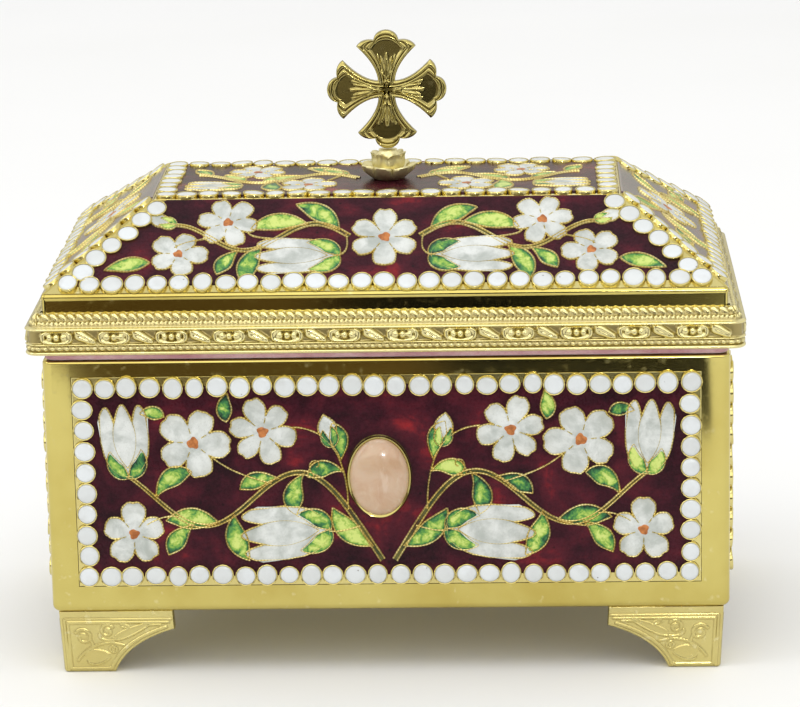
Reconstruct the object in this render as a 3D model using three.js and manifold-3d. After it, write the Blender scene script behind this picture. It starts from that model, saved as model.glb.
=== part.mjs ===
// A gilt reliquary casket: a rectangular box on four cast bracket feet, with a loose hipped lid.
// Enamel plaques edged with rows of bead cups lie in shallow beds on every face of box and lid,
// a stamped band runs round the lid's neck, velvet lines the box and a cast cross stands on top.
// Millimetres, +Z up, the front towards -Y; the origin is under the middle of the feet.
import * as THREE from "three";
import { mergeVertices } from "three/addons/utils/BufferGeometryUtils.js";
import Module from "manifold-3d";

const wasm = await Module();
wasm.setup();

// Driving dimensions.
const gap = 0.3; // between two pieces that touch
const plaque = { thick: 0.9, margin: 2.45, bed: 1.2, lip: 0.25 };
const bead = { radius: 2.4, square: 1.9, sunk: 0.2, height: 1 };
const wire = { width: 0.9, height: 0.6 };

const body = { width: 165, depth: 93, bottomZ: 16, rimZ: 79.1, wall: 2.2, floor: 1.6 };
const bodyEdge = { corner: 2.5, bevel: 1 };
const panel = { columns: 28, pitch: 5.4, rows: 10, rowPitch: 5.26, middleZ: 49 };
const sidePanel = { columns: 15, pitch: 5.3 };
const lining = { wall: 1.2, flange: 1.8, setBack: 0.4 };
const stone = { width: 14.5, height: 19.5, rise: 3.2, left: 1.9, up: 1, bezel: 0.6, bezelHeight: 1.3 };
const vines = { start: 1.5, end: 66, waves: 1.25, lag: 0.75, swing: 9, middle: -1, rootY: -20, steps: 12 };

const foot = { length: 28, height: 15.7, thick: 3, leg: 12.5, end: 4.9, inset: 1.4, draft: 0.9 };
const relief = { height: 0.5, line: 0.7, edge: 1.1, scroll: 2.4, smallScroll: 2, steps: 3 };

const lid = { width: 164, depth: 93, bottomZ: 81.5, eaveZ: 95.5, topZ: 113.2, run: 25, lip: 1.1 };
const lidWall = { upright: 1.8, roof: 2.3 };
const neck = { width: 163.6, depth: 92.6 };
const slope = { margin: 3, columns: 29, sideColumns: 16, hipBeads: 7, topColumns: 21, topRows: 8 };

const band = { out: 3.5, corner: 3, ledgeZ: 87.9, topZ: 91.3, topOut: 0.2, ledgeBack: 0.3, motifs: 12 };
const bandGround = { out: 2.9, from: 84, to: 87.7 }; // the sunken field that holds the ornament
const mouldings = [
  { out: 3.5, from: 81.5, to: 82.1 }, // lower edge
  { out: 3.1, from: 81.8, to: 84.1 }, // channel of small pearls
  { out: 3.5, from: 83.9, to: 84.3 }, // fillet under the ornament
  { out: 3.6, from: 87.5, to: 88 }, // fillet over the ornament
  { out: 2.1, from: 88, to: 90 }, // cord on the ledge
];
const cartouche = { length: 7.4, height: 3.3, raised: 0.6, shift: 0.32 };
const strap = { width: 1.5, lean: 3.2, apart: 0.6 };

const cross = { middleZ: 136, reach: 14.8, waist: 2.1, corner: 10.8, flare: 7.3, thick: 2.2 };
const crossFace = { rim: 0.9, deep: 0.5, blade: 0.35, boss: 3.4, fan: 0.32 };
const bud = { radius: 4.2, petal: 7.2, petalZ: 4.4, height: 7.4, collar: 2.6, petals: 8 };

const slopeTurn = Math.atan2(lid.topZ - lid.eaveZ, lid.run);
const slopeLength = Math.hypot(lid.topZ - lid.eaveZ, lid.run);

// Materials, one look for each sort of piece.
function material(color, roughness, metalness) {
  return new THREE.MeshStandardMaterial({ color, roughness, metalness });
}

const gold = () => material(0xd9b95a, 0.22, 1);
const enamel = () => material(0x5a1420, 0.25, 0);
const velvet = () => material(0xc98a92, 0.95, 0);
const cabochon = () => material(0xe2b496, 0.2, 0);

// Solids: geometry in, manifold out, and back again.
function solid(geometry) {
  const bare = geometry.index ? geometry.toNonIndexed() : geometry.clone();
  bare.deleteAttribute("normal");
  bare.deleteAttribute("uv");
  const merged = mergeVertices(bare, 1e-4);
  return new wasm.Manifold(
    new wasm.Mesh({
      numProp: 3,
      vertProperties: merged.attributes.position.array,
      triVerts: new Uint32Array(merged.index.array),
    }),
  );
}

function geometryOf(made) {
  const mesh = made.getMesh();
  const geometry = new THREE.BufferGeometry();
  geometry.setAttribute("position", new THREE.BufferAttribute(mesh.vertProperties, mesh.numProp));
  geometry.setIndex(new THREE.BufferAttribute(mesh.triVerts, 1));
  const flat = geometry.toNonIndexed();
  flat.computeVertexNormals();
  return flat;
}

const join = (first, ...others) => others.reduce((all, one) => all.add(one), first);
const cut = (first, ...others) => others.reduce((all, one) => all.subtract(one), first);

function piece(name, made, look) {
  const mesh = new THREE.Mesh(geometryOf(made), look);
  mesh.name = name;
  return mesh;
}

// Outlines and prisms.
const outline = (points) => new THREE.Shape(points.map(([x, y]) => new THREE.Vector2(x, y)));

function roundedRectangle(width, depth, radius) {
  const x = width / 2 - radius;
  const y = depth / 2 - radius;
  const shape = new THREE.Shape();
  shape.absarc(x, y, radius, 0, Math.PI / 2);
  shape.absarc(-x, y, radius, Math.PI / 2, Math.PI);
  shape.absarc(-x, -y, radius, Math.PI, 1.5 * Math.PI);
  shape.absarc(x, -y, radius, 1.5 * Math.PI, 2 * Math.PI);
  return shape;
}

// A prism standing on z = from, up to z = to.
function prism(shape, from, to, curveSegments = 3) {
  const geometry = new THREE.ExtrudeGeometry(shape, { depth: to - from, bevelEnabled: false, curveSegments });
  return geometry.translate(0, 0, from);
}

const block = (width, depth, from, to) =>
  new THREE.BoxGeometry(width, depth, to - from).translate(0, 0, (from + to) / 2);

// A cross-section drawn in x and z, run along y, or the same turned to run along x.
function run(shape, length, alongX = false) {
  const geometry = new THREE.ExtrudeGeometry(shape, { depth: length, bevelEnabled: false });
  geometry.translate(0, 0, -length / 2).rotateX(Math.PI / 2);
  return alongX ? geometry.rotateZ(Math.PI / 2) : geometry;
}

// A convex outline moved outwards by a distance, or by one for each side: neighbouring sides meet again.
function grown(points, distance) {
  const sides = points.map(([x, y], i) => {
    const [nextX, nextY] = points[(i + 1) % points.length];
    const length = Math.hypot(nextX - x, nextY - y);
    const along = [(nextX - x) / length, (nextY - y) / length];
    const out = Array.isArray(distance) ? distance[i] : distance;
    return { from: [x + along[1] * out, y - along[0] * out], along };
  });
  return sides.map((side, i) => {
    const before = sides[(i + sides.length - 1) % sides.length];
    const turn = before.along[0] * side.along[1] - before.along[1] * side.along[0];
    const apart = [side.from[0] - before.from[0], side.from[1] - before.from[1]];
    const reach = (apart[0] * side.along[1] - apart[1] * side.along[0]) / turn;
    return [before.from[0] + before.along[0] * reach, before.from[1] + before.along[1] * reach];
  });
}

// Where a face's own frame lies: x along the face, y up it, z out of it.
function faceGroup({ turn, out, height, tilt }) {
  const around = new THREE.Group();
  around.rotation.z = turn;
  const face = new THREE.Group();
  face.position.set(0, -out, height);
  face.rotation.x = tilt;
  around.add(face);
  around.updateMatrixWorld(true);
  return { around, face };
}

// The faces that carry a plaque. corners is the line through the middles of the outer beads, counter-clockwise;
// beads tells how many stand on each side of it, both ends counted; 0 leaves a side bare.
const quarter = Math.PI / 2;

function bodyFace(name, turn, out, columns, pitch, sides) {
  const x = ((columns - 1) * pitch) / 2;
  const y = ((panel.rows - 1) * panel.rowPitch) / 2;
  const corners = [[-x, -y], [x, -y], [x, y], [-x, y]];
  const beads = [columns, panel.rows, columns, panel.rows];
  return { name, place: { turn, out, height: panel.middleZ, tilt: quarter }, corners, beads, sides };
}

function slopeFace(name, turn, out, half, columns, sides) {
  const steep = 1 / Math.cos(slopeTurn);
  const inward = (slope.margin * (1 + Math.hypot(1, steep))) / steep;
  const top = slopeLength - slope.margin;
  const x = half - inward;
  const topX = x - (top - slope.margin) / steep;
  const corners = [[-x, slope.margin], [x, slope.margin], [topX, top], [-topX, top]];
  const beads = [columns, slope.hipBeads, 0, slope.hipBeads];
  return { name, place: { turn, out, height: lid.eaveZ, tilt: slopeTurn }, corners, beads, sides };
}

function topFace(name, sides) {
  const x = lid.width / 2 - lid.run - slope.margin;
  const y = lid.depth / 2 - lid.run - slope.margin;
  const corners = [[-x, -y], [x, -y], [x, y], [-x, y]];
  const beads = [slope.topColumns, slope.topRows, slope.topColumns, slope.topRows];
  return { name, place: { turn: 0, out: 0, height: lid.topZ, tilt: 0 }, corners, beads, sides };
}

const bodyFaces = [
  bodyFace("front_enamel_plaque", 0, body.depth / 2, panel.columns, panel.pitch, 6),
  bodyFace("right_enamel_plaque", quarter, body.width / 2, sidePanel.columns, sidePanel.pitch, 4),
  bodyFace("back_enamel_plaque", 2 * quarter, body.depth / 2, panel.columns, panel.pitch, 0),
  bodyFace("left_enamel_plaque", 3 * quarter, body.width / 2, sidePanel.columns, sidePanel.pitch, 4),
];
const lidFaces = [
  slopeFace("lid_front_enamel_plaque", 0, lid.depth / 2, lid.width / 2, slope.columns, 6),
  slopeFace("lid_right_enamel_plaque", quarter, lid.width / 2, lid.depth / 2, slope.sideColumns, 4),
  slopeFace("lid_back_enamel_plaque", 2 * quarter, lid.depth / 2, lid.width / 2, slope.columns, 0),
  slopeFace("lid_left_enamel_plaque", 3 * quarter, lid.width / 2, lid.depth / 2, slope.sideColumns, 4),
  topFace("lid_top_enamel_plaque", 4),
];

// The shallow bed that a plaque lies in, as a cutter in the part's frame.
function plaqueBed({ place, corners }) {
  const opening = outline(grown(corners, plaque.margin + plaque.lip));
  return solid(prism(opening, -plaque.bed, 5).applyMatrix4(faceGroup(place).face.matrixWorld));
}

// The bead cups along one side of the bead line, both ends counted, each turned to the side's direction.
function sideBeads([fromX, fromY], [toX, toY], count) {
  const turn = Math.atan2(toY - fromY, toX - fromX);
  return Array.from({ length: count }, (_, i) => {
    const share = i / (count - 1);
    return { x: fromX + (toX - fromX) * share, y: fromY + (toY - fromY) * share, turn };
  });
}

// A bead cup with a few flat sides, one of them square to the row.
function beadCup({ x, y, turn }, sides) {
  const reach = sides > 4 ? bead.radius : bead.square * Math.SQRT2;
  const corners = Array.from({ length: sides }, (_, i) => {
    const angle = turn + ((i + 0.5) / sides) * 2 * Math.PI;
    return [x + reach * Math.cos(angle), y + reach * Math.sin(angle)];
  });
  return solid(prism(outline(corners), -bead.sunk, bead.height));
}

function beadRow({ corners, beads, sides }) {
  const cups = new Map();
  corners.forEach((corner, i) => {
    if (!beads[i]) return;
    sideBeads(corner, corners[(i + 1) % corners.length], beads[i]).forEach((cup) => {
      cups.set([cup.x.toFixed(2), cup.y.toFixed(2)].join(), cup);
    });
  });
  return [...cups.values()].map((cup) => beadCup(cup, sides));
}

// The same border where it faces the wall: one plain rail as wide and as high as the cups.
// It is open along the edges that carry no beads.
function beadRail({ corners, beads }) {
  const outer = prism(outline(grown(corners, bead.radius)), -bead.sunk, bead.height);
  const inward = beads.map((count) => (count ? -bead.radius : 2 * bead.radius));
  return [cut(solid(outer), solid(prism(outline(grown(corners, inward)), -1, 2 * bead.height)))];
}

// A wire stem bent over the enamel through a few points, square in section.
function stem(points, steps) {
  const path = new THREE.CatmullRomCurve3(points.map(([x, y]) => new THREE.Vector3(x, y, 0)));
  const half = wire.width / 2;
  const section = outline([[-wire.height, -half], [wire.height, -half], [wire.height, half], [-wire.height, half]]);
  return solid(new THREE.ExtrudeGeometry(section, { extrudePath: path, steps, bevelEnabled: false }));
}

// A vine that waves across the panel, one way or the other: a sine, pulled at its root to the lower edge.
function vine(way) {
  const { start, end, waves, lag, swing, middle, rootY, steps } = vines;
  const wave = (share) => middle + swing * Math.sin(2 * Math.PI * waves * share - lag);
  const points = Array.from({ length: steps + 1 }, (_, i) => {
    const share = i / steps;
    return [way * (start + (end - start) * share), wave(share) + (rootY - wave(0)) * (1 - share) ** 5];
  });
  return stem(points, steps);
}

function bezel() {
  const ring = new THREE.Shape();
  const hole = new THREE.Path();
  const outX = stone.width / 2 + gap + stone.bezel;
  const outY = stone.height / 2 + gap + stone.bezel;
  ring.absellipse(0, 0, outX, outY, 0, 2 * Math.PI);
  hole.absellipse(0, 0, outX - stone.bezel, outY - stone.bezel, 0, 2 * Math.PI);
  ring.holes.push(hole);
  return solid(prism(ring, -bead.sunk, stone.bezelHeight, 8).translate(-stone.left, stone.up, 0));
}

function enamelPlaque(face) {
  const plate = solid(prism(outline(grown(face.corners, plaque.margin)), -plaque.thick, 0));
  return join(plate, ...(face.sides ? beadRow(face) : beadRail(face)));
}

const frontPlaque = (face) => join(enamelPlaque(face), vine(-1), vine(1), bezel());

function cabochonStone() {
  const rows = 4;
  const profile = Array.from({ length: rows + 1 }, (_, i) => {
    const angle = (i / rows) * quarter;
    return new THREE.Vector2(Math.cos(angle), Math.sin(angle));
  });
  profile[rows].x = 0;
  const dome = new THREE.LatheGeometry([new THREE.Vector2(0, 0), ...profile], 16);
  dome.rotateX(quarter).scale(stone.width / 2, stone.height / 2, stone.rise);
  return solid(dome.translate(-stone.left, stone.up, gap));
}

// The box: open at the top, with a softened bottom edge.
function boxBody() {
  const { width, depth, bottomZ, rimZ, wall, floor } = body;
  const { bevel, corner } = bodyEdge;
  const shape = roundedRectangle(width - 2 * bevel, depth - 2 * bevel, corner - bevel);
  const softened = new THREE.ExtrudeGeometry(shape, {
    depth: rimZ - bottomZ,
    bevelThickness: bevel,
    bevelSize: bevel,
    bevelSegments: 1,
    curveSegments: 3,
  });
  const above = solid(block(2 * width, 2 * depth, rimZ, 2 * rimZ));
  const outer = cut(solid(softened.translate(0, 0, bottomZ + bevel)), above);
  const inner = roundedRectangle(width - 2 * wall, depth - 2 * wall, 1);
  return cut(outer, solid(prism(inner, bottomZ + floor, rimZ + 5, 2)), ...bodyFaces.map(plaqueBed));
}

// The velvet: a thin tray whose edge turns out over the box's rim.
function velvetLining() {
  const width = body.width - 2 * (body.wall + gap);
  const depth = body.depth - 2 * (body.wall + gap);
  const floorZ = body.bottomZ + body.floor + gap;
  const flangeZ = body.rimZ + gap;
  const topZ = flangeZ + lining.flange;
  const tray = solid(prism(roundedRectangle(width, depth, 1), floorZ, topZ, 1));
  const edge = [body.width - 2 * lining.setBack, body.depth - 2 * lining.setBack];
  const flange = solid(prism(roundedRectangle(...edge, bodyEdge.corner), flangeZ, topZ, 2));
  const inner = roundedRectangle(width - 2 * lining.wall, depth - 2 * lining.wall, 1);
  return cut(join(tray, flange), solid(prism(inner, floorZ + lining.wall, topZ + 5, 1)));
}

// One arm of a bracket foot: upright at its outer end, then an arch that rises to the tip.
function footArm() {
  const { length, height, leg, end, thick } = foot;
  const archZ = height - end;
  const shape = new THREE.Shape();
  shape.moveTo(0, 0);
  shape.lineTo(leg, 0);
  shape.quadraticCurveTo(leg + 0.22 * (length - leg), 0.68 * archZ, length, archZ);
  shape.lineTo(length, height);
  shape.lineTo(0, height);
  const geometry = new THREE.ExtrudeGeometry(shape, { depth: thick, bevelEnabled: false, curveSegments: 5 });
  return solid(geometry.rotateX(quarter).translate(0, thick, 0));
}

// A low flat shape on a foot's face, drawn in x and z.
function raised(points) {
  const geometry = new THREE.ExtrudeGeometry(outline(points), { depth: 2 * relief.height, bevelEnabled: false });
  return solid(geometry.rotateX(quarter).translate(0, relief.height, 0));
}

// A scroll: most of a turn of a flat line round a middle, one way or the other.
function scroll(x, z, radius, way) {
  const arc = (r) => (_, i) => {
    const angle = (way * i * 1.6 * Math.PI) / relief.steps;
    return [x + r * Math.cos(angle), z + r * Math.sin(angle)];
  };
  const outer = Array.from({ length: relief.steps + 1 }, arc(radius));
  const inner = Array.from({ length: relief.steps + 1 }, arc(radius - relief.line)).reverse();
  return raised([...outer, ...inner]);
}

// The relief on a foot's face: an edge line, two scrolls, a leaf at the leg and a blade along the arch.
function footRelief() {
  const { length, height, leg, end } = foot;
  const { edge, line, scroll: large, smallScroll: small } = relief;
  const high = height - edge;
  const archZ = height - end;
  const side = raised([[edge, edge], [edge + line, edge], [edge + line, high], [edge, high]]);
  const top = raised([[edge, high - line], [length - 3, high - line], [length - 3, high], [edge, high]]);
  const leaf = raised([
    [0.4 * leg, 0.3 * archZ],
    [0.65 * leg, 0.24 * archZ],
    [0.85 * leg, 0.4 * archZ],
    [0.67 * leg, 0.57 * archZ],
  ]);
  const blade = raised([
    [0.84 * leg, 0.76 * archZ],
    [1.12 * leg, 0.82 * archZ],
    [0.73 * length, 1.16 * archZ],
    [1.12 * leg, 0.94 * archZ],
  ]);
  const low = scroll(0.4 * leg, 0.89 * archZ, large, -1);
  const raisedScroll = scroll(0.85 * leg, 1.13 * archZ, small, 1);
  return [side, top, low, raisedScroll, leaf, blade];
}

// A solid seen in the mirror that swaps x and y, with its faces turned to point out again.
function swapped(made) {
  const geometry = geometryOf(made);
  const { position } = geometry.attributes;
  for (let i = 0; i < position.count; i += 3) {
    const corners = [0, 1, 2].map((k) => [position.getX(i + k), position.getY(i + k), position.getZ(i + k)]);
    corners.reverse().forEach(([x, y, z], k) => position.setXYZ(i + k, y, x, z));
  }
  return solid(geometry);
}

// A whole foot: two arms that meet at a corner and lean inwards a little towards the ground.
function bracketFoot() {
  const arm = join(footArm(), ...footRelief());
  const bracket = geometryOf(join(arm, swapped(arm)));
  const { position } = bracket.attributes;
  for (let i = 0; i < position.count; i++) {
    const inward = foot.draft * (1 - position.getZ(i) / foot.height);
    position.setXY(i, position.getX(i) + inward, position.getY(i) + inward);
  }
  return bracket;
}

// The lid: a neck that rests on the velvet, an eave that overhangs it and a hipped roof with a flat top.
// Its cross-section: upright from lowZ to eaveZ at half the width, then sloping to topZ at the top's half.
function roofSection(half, lowZ, eaveZ, topHalf, topZ) {
  return outline([[-half, lowZ], [half, lowZ], [half, eaveZ], [topHalf, topZ], [-topHalf, topZ], [-half, eaveZ]]);
}

// A hip is where the same section, run along the lid and across it, meets itself.
function hipped(section) {
  const along = run(section(lid.depth, neck.depth), 2 * lid.width, true);
  return solid(run(section(lid.width, neck.width), 2 * lid.depth)).intersect(solid(along));
}

const hippedRoof = () =>
  hipped((size) => roofSection(size / 2, lid.eaveZ - lid.lip, lid.eaveZ, size / 2 - lid.run, lid.topZ));

function lidHollow() {
  const pitch = (lid.topZ - lid.eaveZ) / lid.run;
  const drop = lidWall.roof / Math.cos(slopeTurn);
  const topZ = lid.topZ - lidWall.roof;
  return hipped((size, neckSize) => {
    const half = neckSize / 2 - lidWall.upright;
    const shoulderZ = lid.eaveZ + (size / 2 - half) * pitch - drop;
    const topHalf = size / 2 - (topZ + drop - lid.eaveZ) / pitch;
    return roofSection(half, lid.bottomZ - 1, shoulderZ, topHalf, topZ);
  });
}

function lidShell() {
  const wall = solid(block(neck.width, neck.depth, lid.bottomZ, lid.eaveZ));
  return cut(join(hippedRoof(), wall), lidHollow(), ...lidFaces.map(plaqueBed));
}

// The band round the lid's neck: mouldings one above another, a sloping ledge and a running ornament.
function bandRing({ out, from, to }) {
  const shape = roundedRectangle(body.width + 2 * out, body.depth + 2 * out, band.corner);
  return solid(prism(shape, from, to, 2));
}

function bandLedge() {
  const { out, topOut, ledgeZ, topZ, ledgeBack } = band;
  const shape = roundedRectangle(body.width + 2 * topOut, body.depth + 2 * topOut, 1);
  const geometry = new THREE.ExtrudeGeometry(shape, {
    depth: 0.2,
    bevelThickness: topZ - ledgeZ,
    bevelSize: out - topOut - ledgeBack,
    bevelSegments: 1,
    curveSegments: 2,
  });
  const whole = solid(geometry.translate(0, 0, ledgeZ - 0.2));
  return cut(whole, solid(block(2 * body.width, 2 * body.depth, 0, ledgeZ - 0.1)));
}

// One repeat of the ornament, centred on x: an oval frame and a strap that leans away from it.
function bandMotif(x) {
  const middleZ = (bandGround.from + bandGround.to) / 2;
  const half = cartouche.height / 2;
  const oval = Array.from({ length: 6 }, (_, i) => {
    const angle = (i / 6) * 2 * Math.PI;
    return [x + (cartouche.length / 2) * Math.cos(angle), middleZ + half * Math.sin(angle)];
  });
  const high = x + cartouche.length / 2 + strap.apart;
  const low = high + strap.lean;
  const leaning = [
    [low, middleZ - half],
    [low + strap.width, middleZ - half],
    [high + strap.width, middleZ + half],
    [high, middleZ + half],
  ];
  return [oval, leaning];
}

// The ornament along the front; on the other sides the field stays plain.
function bandOrnament() {
  const length = body.width + 2 * band.out - 2 * band.corner;
  const face = body.depth / 2 + bandGround.out + cartouche.raised;
  const place = (_, i) => ((i + cartouche.shift) / band.motifs - 0.5) * length;
  const places = Array.from({ length: band.motifs }, place);
  return places.flatMap(bandMotif).map((points) => {
    const geometry = new THREE.ExtrudeGeometry(outline(points), { depth: 1, bevelEnabled: false });
    return solid(geometry.rotateX(quarter).translate(0, 1 - face, 0));
  });
}

function lidBand() {
  const rings = [bandGround, ...mouldings].map(bandRing);
  const hole = solid(block(neck.width + 2 * gap, neck.depth + 2 * gap, 0, 2 * band.topZ));
  return cut(join(bandLedge(), ...rings, ...bandOrnament()), hole);
}

// The cross: four arms that flare from a narrow waist to three lobes.
// inset draws the same outline further in.
function crossOutline(inset) {
  const waist = cross.waist - inset;
  const flare = cross.flare - 1.7 * inset;
  const corner = cross.corner - 0.3 * inset;
  const notch = [corner + 1.5, 3.1 - 0.3 * inset];
  const reach = cross.reach - inset;
  const shape = new THREE.Shape();
  for (let arm = 0; arm < 4; arm++) {
    const cos = Math.cos(arm * quarter);
    const sin = Math.sin(arm * quarter);
    const at = (x, y) => [x * cos - y * sin, x * sin + y * cos];
    if (arm === 0) shape.moveTo(...at(waist, -waist));
    shape.quadraticCurveTo(...at(0.57 * corner, -waist - 0.2), ...at(corner, -flare));
    shape.quadraticCurveTo(...at(corner + 2, 1.4 - flare), ...at(notch[0], -notch[1]));
    shape.quadraticCurveTo(...at(reach + 0.1, -notch[1]), ...at(reach, 0));
    shape.quadraticCurveTo(...at(reach + 0.1, notch[1]), ...at(...notch));
    shape.quadraticCurveTo(...at(corner + 2, flare - 1.4), ...at(corner, flare));
    shape.quadraticCurveTo(...at(0.57 * corner, waist + 0.2), ...at(waist, waist));
  }
  return shape;
}

// The cross cast with a raised rim, a palmette of three blades on each arm and a boss in the middle.
function finialCross() {
  const { thick, corner } = cross;
  const { rim, deep, blade: bladeHeight, boss: bossSize, fan } = crossFace;
  const plate = solid(prism(crossOutline(0), -thick / 2, thick / 2, 2));
  const sunken = solid(prism(crossOutline(rim), thick / 2 - deep, thick, 2));
  const groundZ = thick / 2 - deep;
  const blade = outline([
    [0.37 * corner, 0],
    [0.83 * corner, -0.6],
    [1.02 * corner, 0],
    [0.83 * corner, 0.6],
  ]);
  const palmettes = [0, 1, 2, 3].flatMap((arm) =>
    [-fan, 0, fan].map((lean) => {
      const geometry = prism(blade, groundZ - 0.2, groundZ + bladeHeight);
      return solid(geometry.rotateZ(lean + arm * quarter));
    }),
  );
  const boss = solid(prism(roundedRectangle(bossSize, bossSize, 1), groundZ - 0.2, thick / 2 + deep, 1));
  return join(cut(plate, sunken), ...palmettes, boss);
}

// The bud that the cross grows from: a ring of petals, a rounded bud above it and a small collar.
function budBase() {
  const { radius, petal, petalZ, height, collar, petals } = bud;
  const profile = [
    [0, 0],
    [radius + 0.4, 0],
    [radius + 1, 1],
    [radius, 3],
    [radius + 0.2, petalZ + 0.6],
    [collar + 0.5, height - 1.1],
    [collar, height],
    [0, height],
  ];
  const core = new THREE.LatheGeometry(
    profile.map(([x, y]) => new THREE.Vector2(x, y)),
    8,
  ).rotateX(quarter);
  const leaves = Array.from({ length: petals }, (_, i) => {
    const leaf = new THREE.SphereGeometry(1, 4, 2).scale(1.5, 2.1, 1.5);
    leaf.rotateX(0.5).translate(0, 2 - petal, petalZ - 1.4);
    return solid(leaf.rotateZ((i / petals) * 2 * Math.PI));
  });
  return join(solid(core), ...leaves);
}

// The assembly.
function placed(face, mesh) {
  const { around, face: holder } = faceGroup(face.place);
  holder.add(mesh);
  return around;
}

function footGroup(name, right, back) {
  const mesh = new THREE.Mesh(bracketFoot(), gold());
  mesh.name = name;
  const reachX = body.width / 2 - foot.inset;
  const reachY = body.depth / 2 - foot.inset;
  mesh.position.set(right ? reachX : -reachX, back ? reachY : -reachY, 0);
  mesh.rotation.z = (right ? 1 : 0) * quarter + (back ? (right ? 1 : 3) : 0) * quarter;
  return mesh;
}

const casket = new THREE.Group();
casket.add(piece("box_body", boxBody(), gold()), piece("velvet_lining", velvetLining(), velvet()));
bodyFaces.forEach((face, i) => {
  casket.add(placed(face, piece(face.name, i ? enamelPlaque(face) : frontPlaque(face), enamel())));
});
casket.add(placed(bodyFaces[0], piece("cabochon", cabochonStone(), cabochon())));
casket.add(
  footGroup("front_left_foot", false, false),
  footGroup("front_right_foot", true, false),
  footGroup("back_right_foot", true, true),
  footGroup("back_left_foot", false, true),
);

const loose = new THREE.Group();
loose.add(piece("lid_shell", lidShell(), gold()), piece("lid_band", lidBand(), gold()));
lidFaces.forEach((face) => loose.add(placed(face, piece(face.name, enamelPlaque(face), enamel()))));

const finial = new THREE.Group();
finial.position.z = lid.topZ + gap;
const standing = piece("finial_cross", finialCross(), gold());
standing.position.z = cross.middleZ - finial.position.z;
standing.rotation.x = quarter;
finial.add(piece("finial_bud", budBase(), gold()), standing);
loose.add(finial);
casket.add(loose);

export default casket;
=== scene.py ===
# A gilt reliquary casket: a box on bracket feet and a loose hipped lid, with enamel plaques, bead cups,
# a stamped band, a velvet lining and a cast cross. Lengths below are millimetres; meshes are in metres.
import math

import bmesh
import bpy
import numpy as np
from mathutils import Matrix


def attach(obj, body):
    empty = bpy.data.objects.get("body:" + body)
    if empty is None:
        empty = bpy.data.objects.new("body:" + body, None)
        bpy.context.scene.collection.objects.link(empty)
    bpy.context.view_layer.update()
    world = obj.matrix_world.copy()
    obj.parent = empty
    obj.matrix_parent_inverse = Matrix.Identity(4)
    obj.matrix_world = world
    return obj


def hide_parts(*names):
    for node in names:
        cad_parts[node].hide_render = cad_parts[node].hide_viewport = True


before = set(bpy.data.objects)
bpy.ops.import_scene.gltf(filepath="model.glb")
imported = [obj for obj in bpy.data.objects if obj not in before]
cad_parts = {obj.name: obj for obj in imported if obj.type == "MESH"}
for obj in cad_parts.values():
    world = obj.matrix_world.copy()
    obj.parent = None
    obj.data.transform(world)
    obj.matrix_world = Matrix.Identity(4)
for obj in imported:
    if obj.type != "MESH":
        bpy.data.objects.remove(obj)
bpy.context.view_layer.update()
mm = 0.001
chance = np.random.default_rng(11)  # the unevenness of hand work, the same on every run
print("frame loaded:", len(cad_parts), "nodes")


# ---- finishes ----
class Signal:
    # A node's socket. Arithmetic on it adds Math nodes to its own finish.
    def __init__(self, finish, socket):
        self.finish = finish
        self.socket = socket

    def maths(self, operation, *values, clamp=False):
        settings = {"operation": operation, "use_clamp": clamp}
        return self.finish.node("ShaderNodeMath", settings, dict(enumerate(values)))

    def __add__(self, other):
        return self.maths("ADD", self, other)

    def __sub__(self, other):
        return self.maths("SUBTRACT", self, other)

    def __rsub__(self, other):
        return self.maths("SUBTRACT", other, self)

    def __mul__(self, other):
        return self.maths("MULTIPLY", self, other)

    def __truediv__(self, other):
        return self.maths("DIVIDE", self, other)

    def __pow__(self, other):
        return self.maths("POWER", self, other)

    __radd__ = __add__
    __rmul__ = __mul__

    def held(self):
        # The same value, kept between 0 and 1.
        return self.maths("ADD", self, 0.0, clamp=True)

    def between(self, low, high):
        # 0 at low and 1 at high, smooth in between.
        settings = {"interpolation_type": "SMOOTHSTEP"}
        return self.finish.node("ShaderNodeMapRange", settings, {"Value": self, 1: low, 2: high})

    def wave(self):
        return self.maths("SINE", self)


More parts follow.
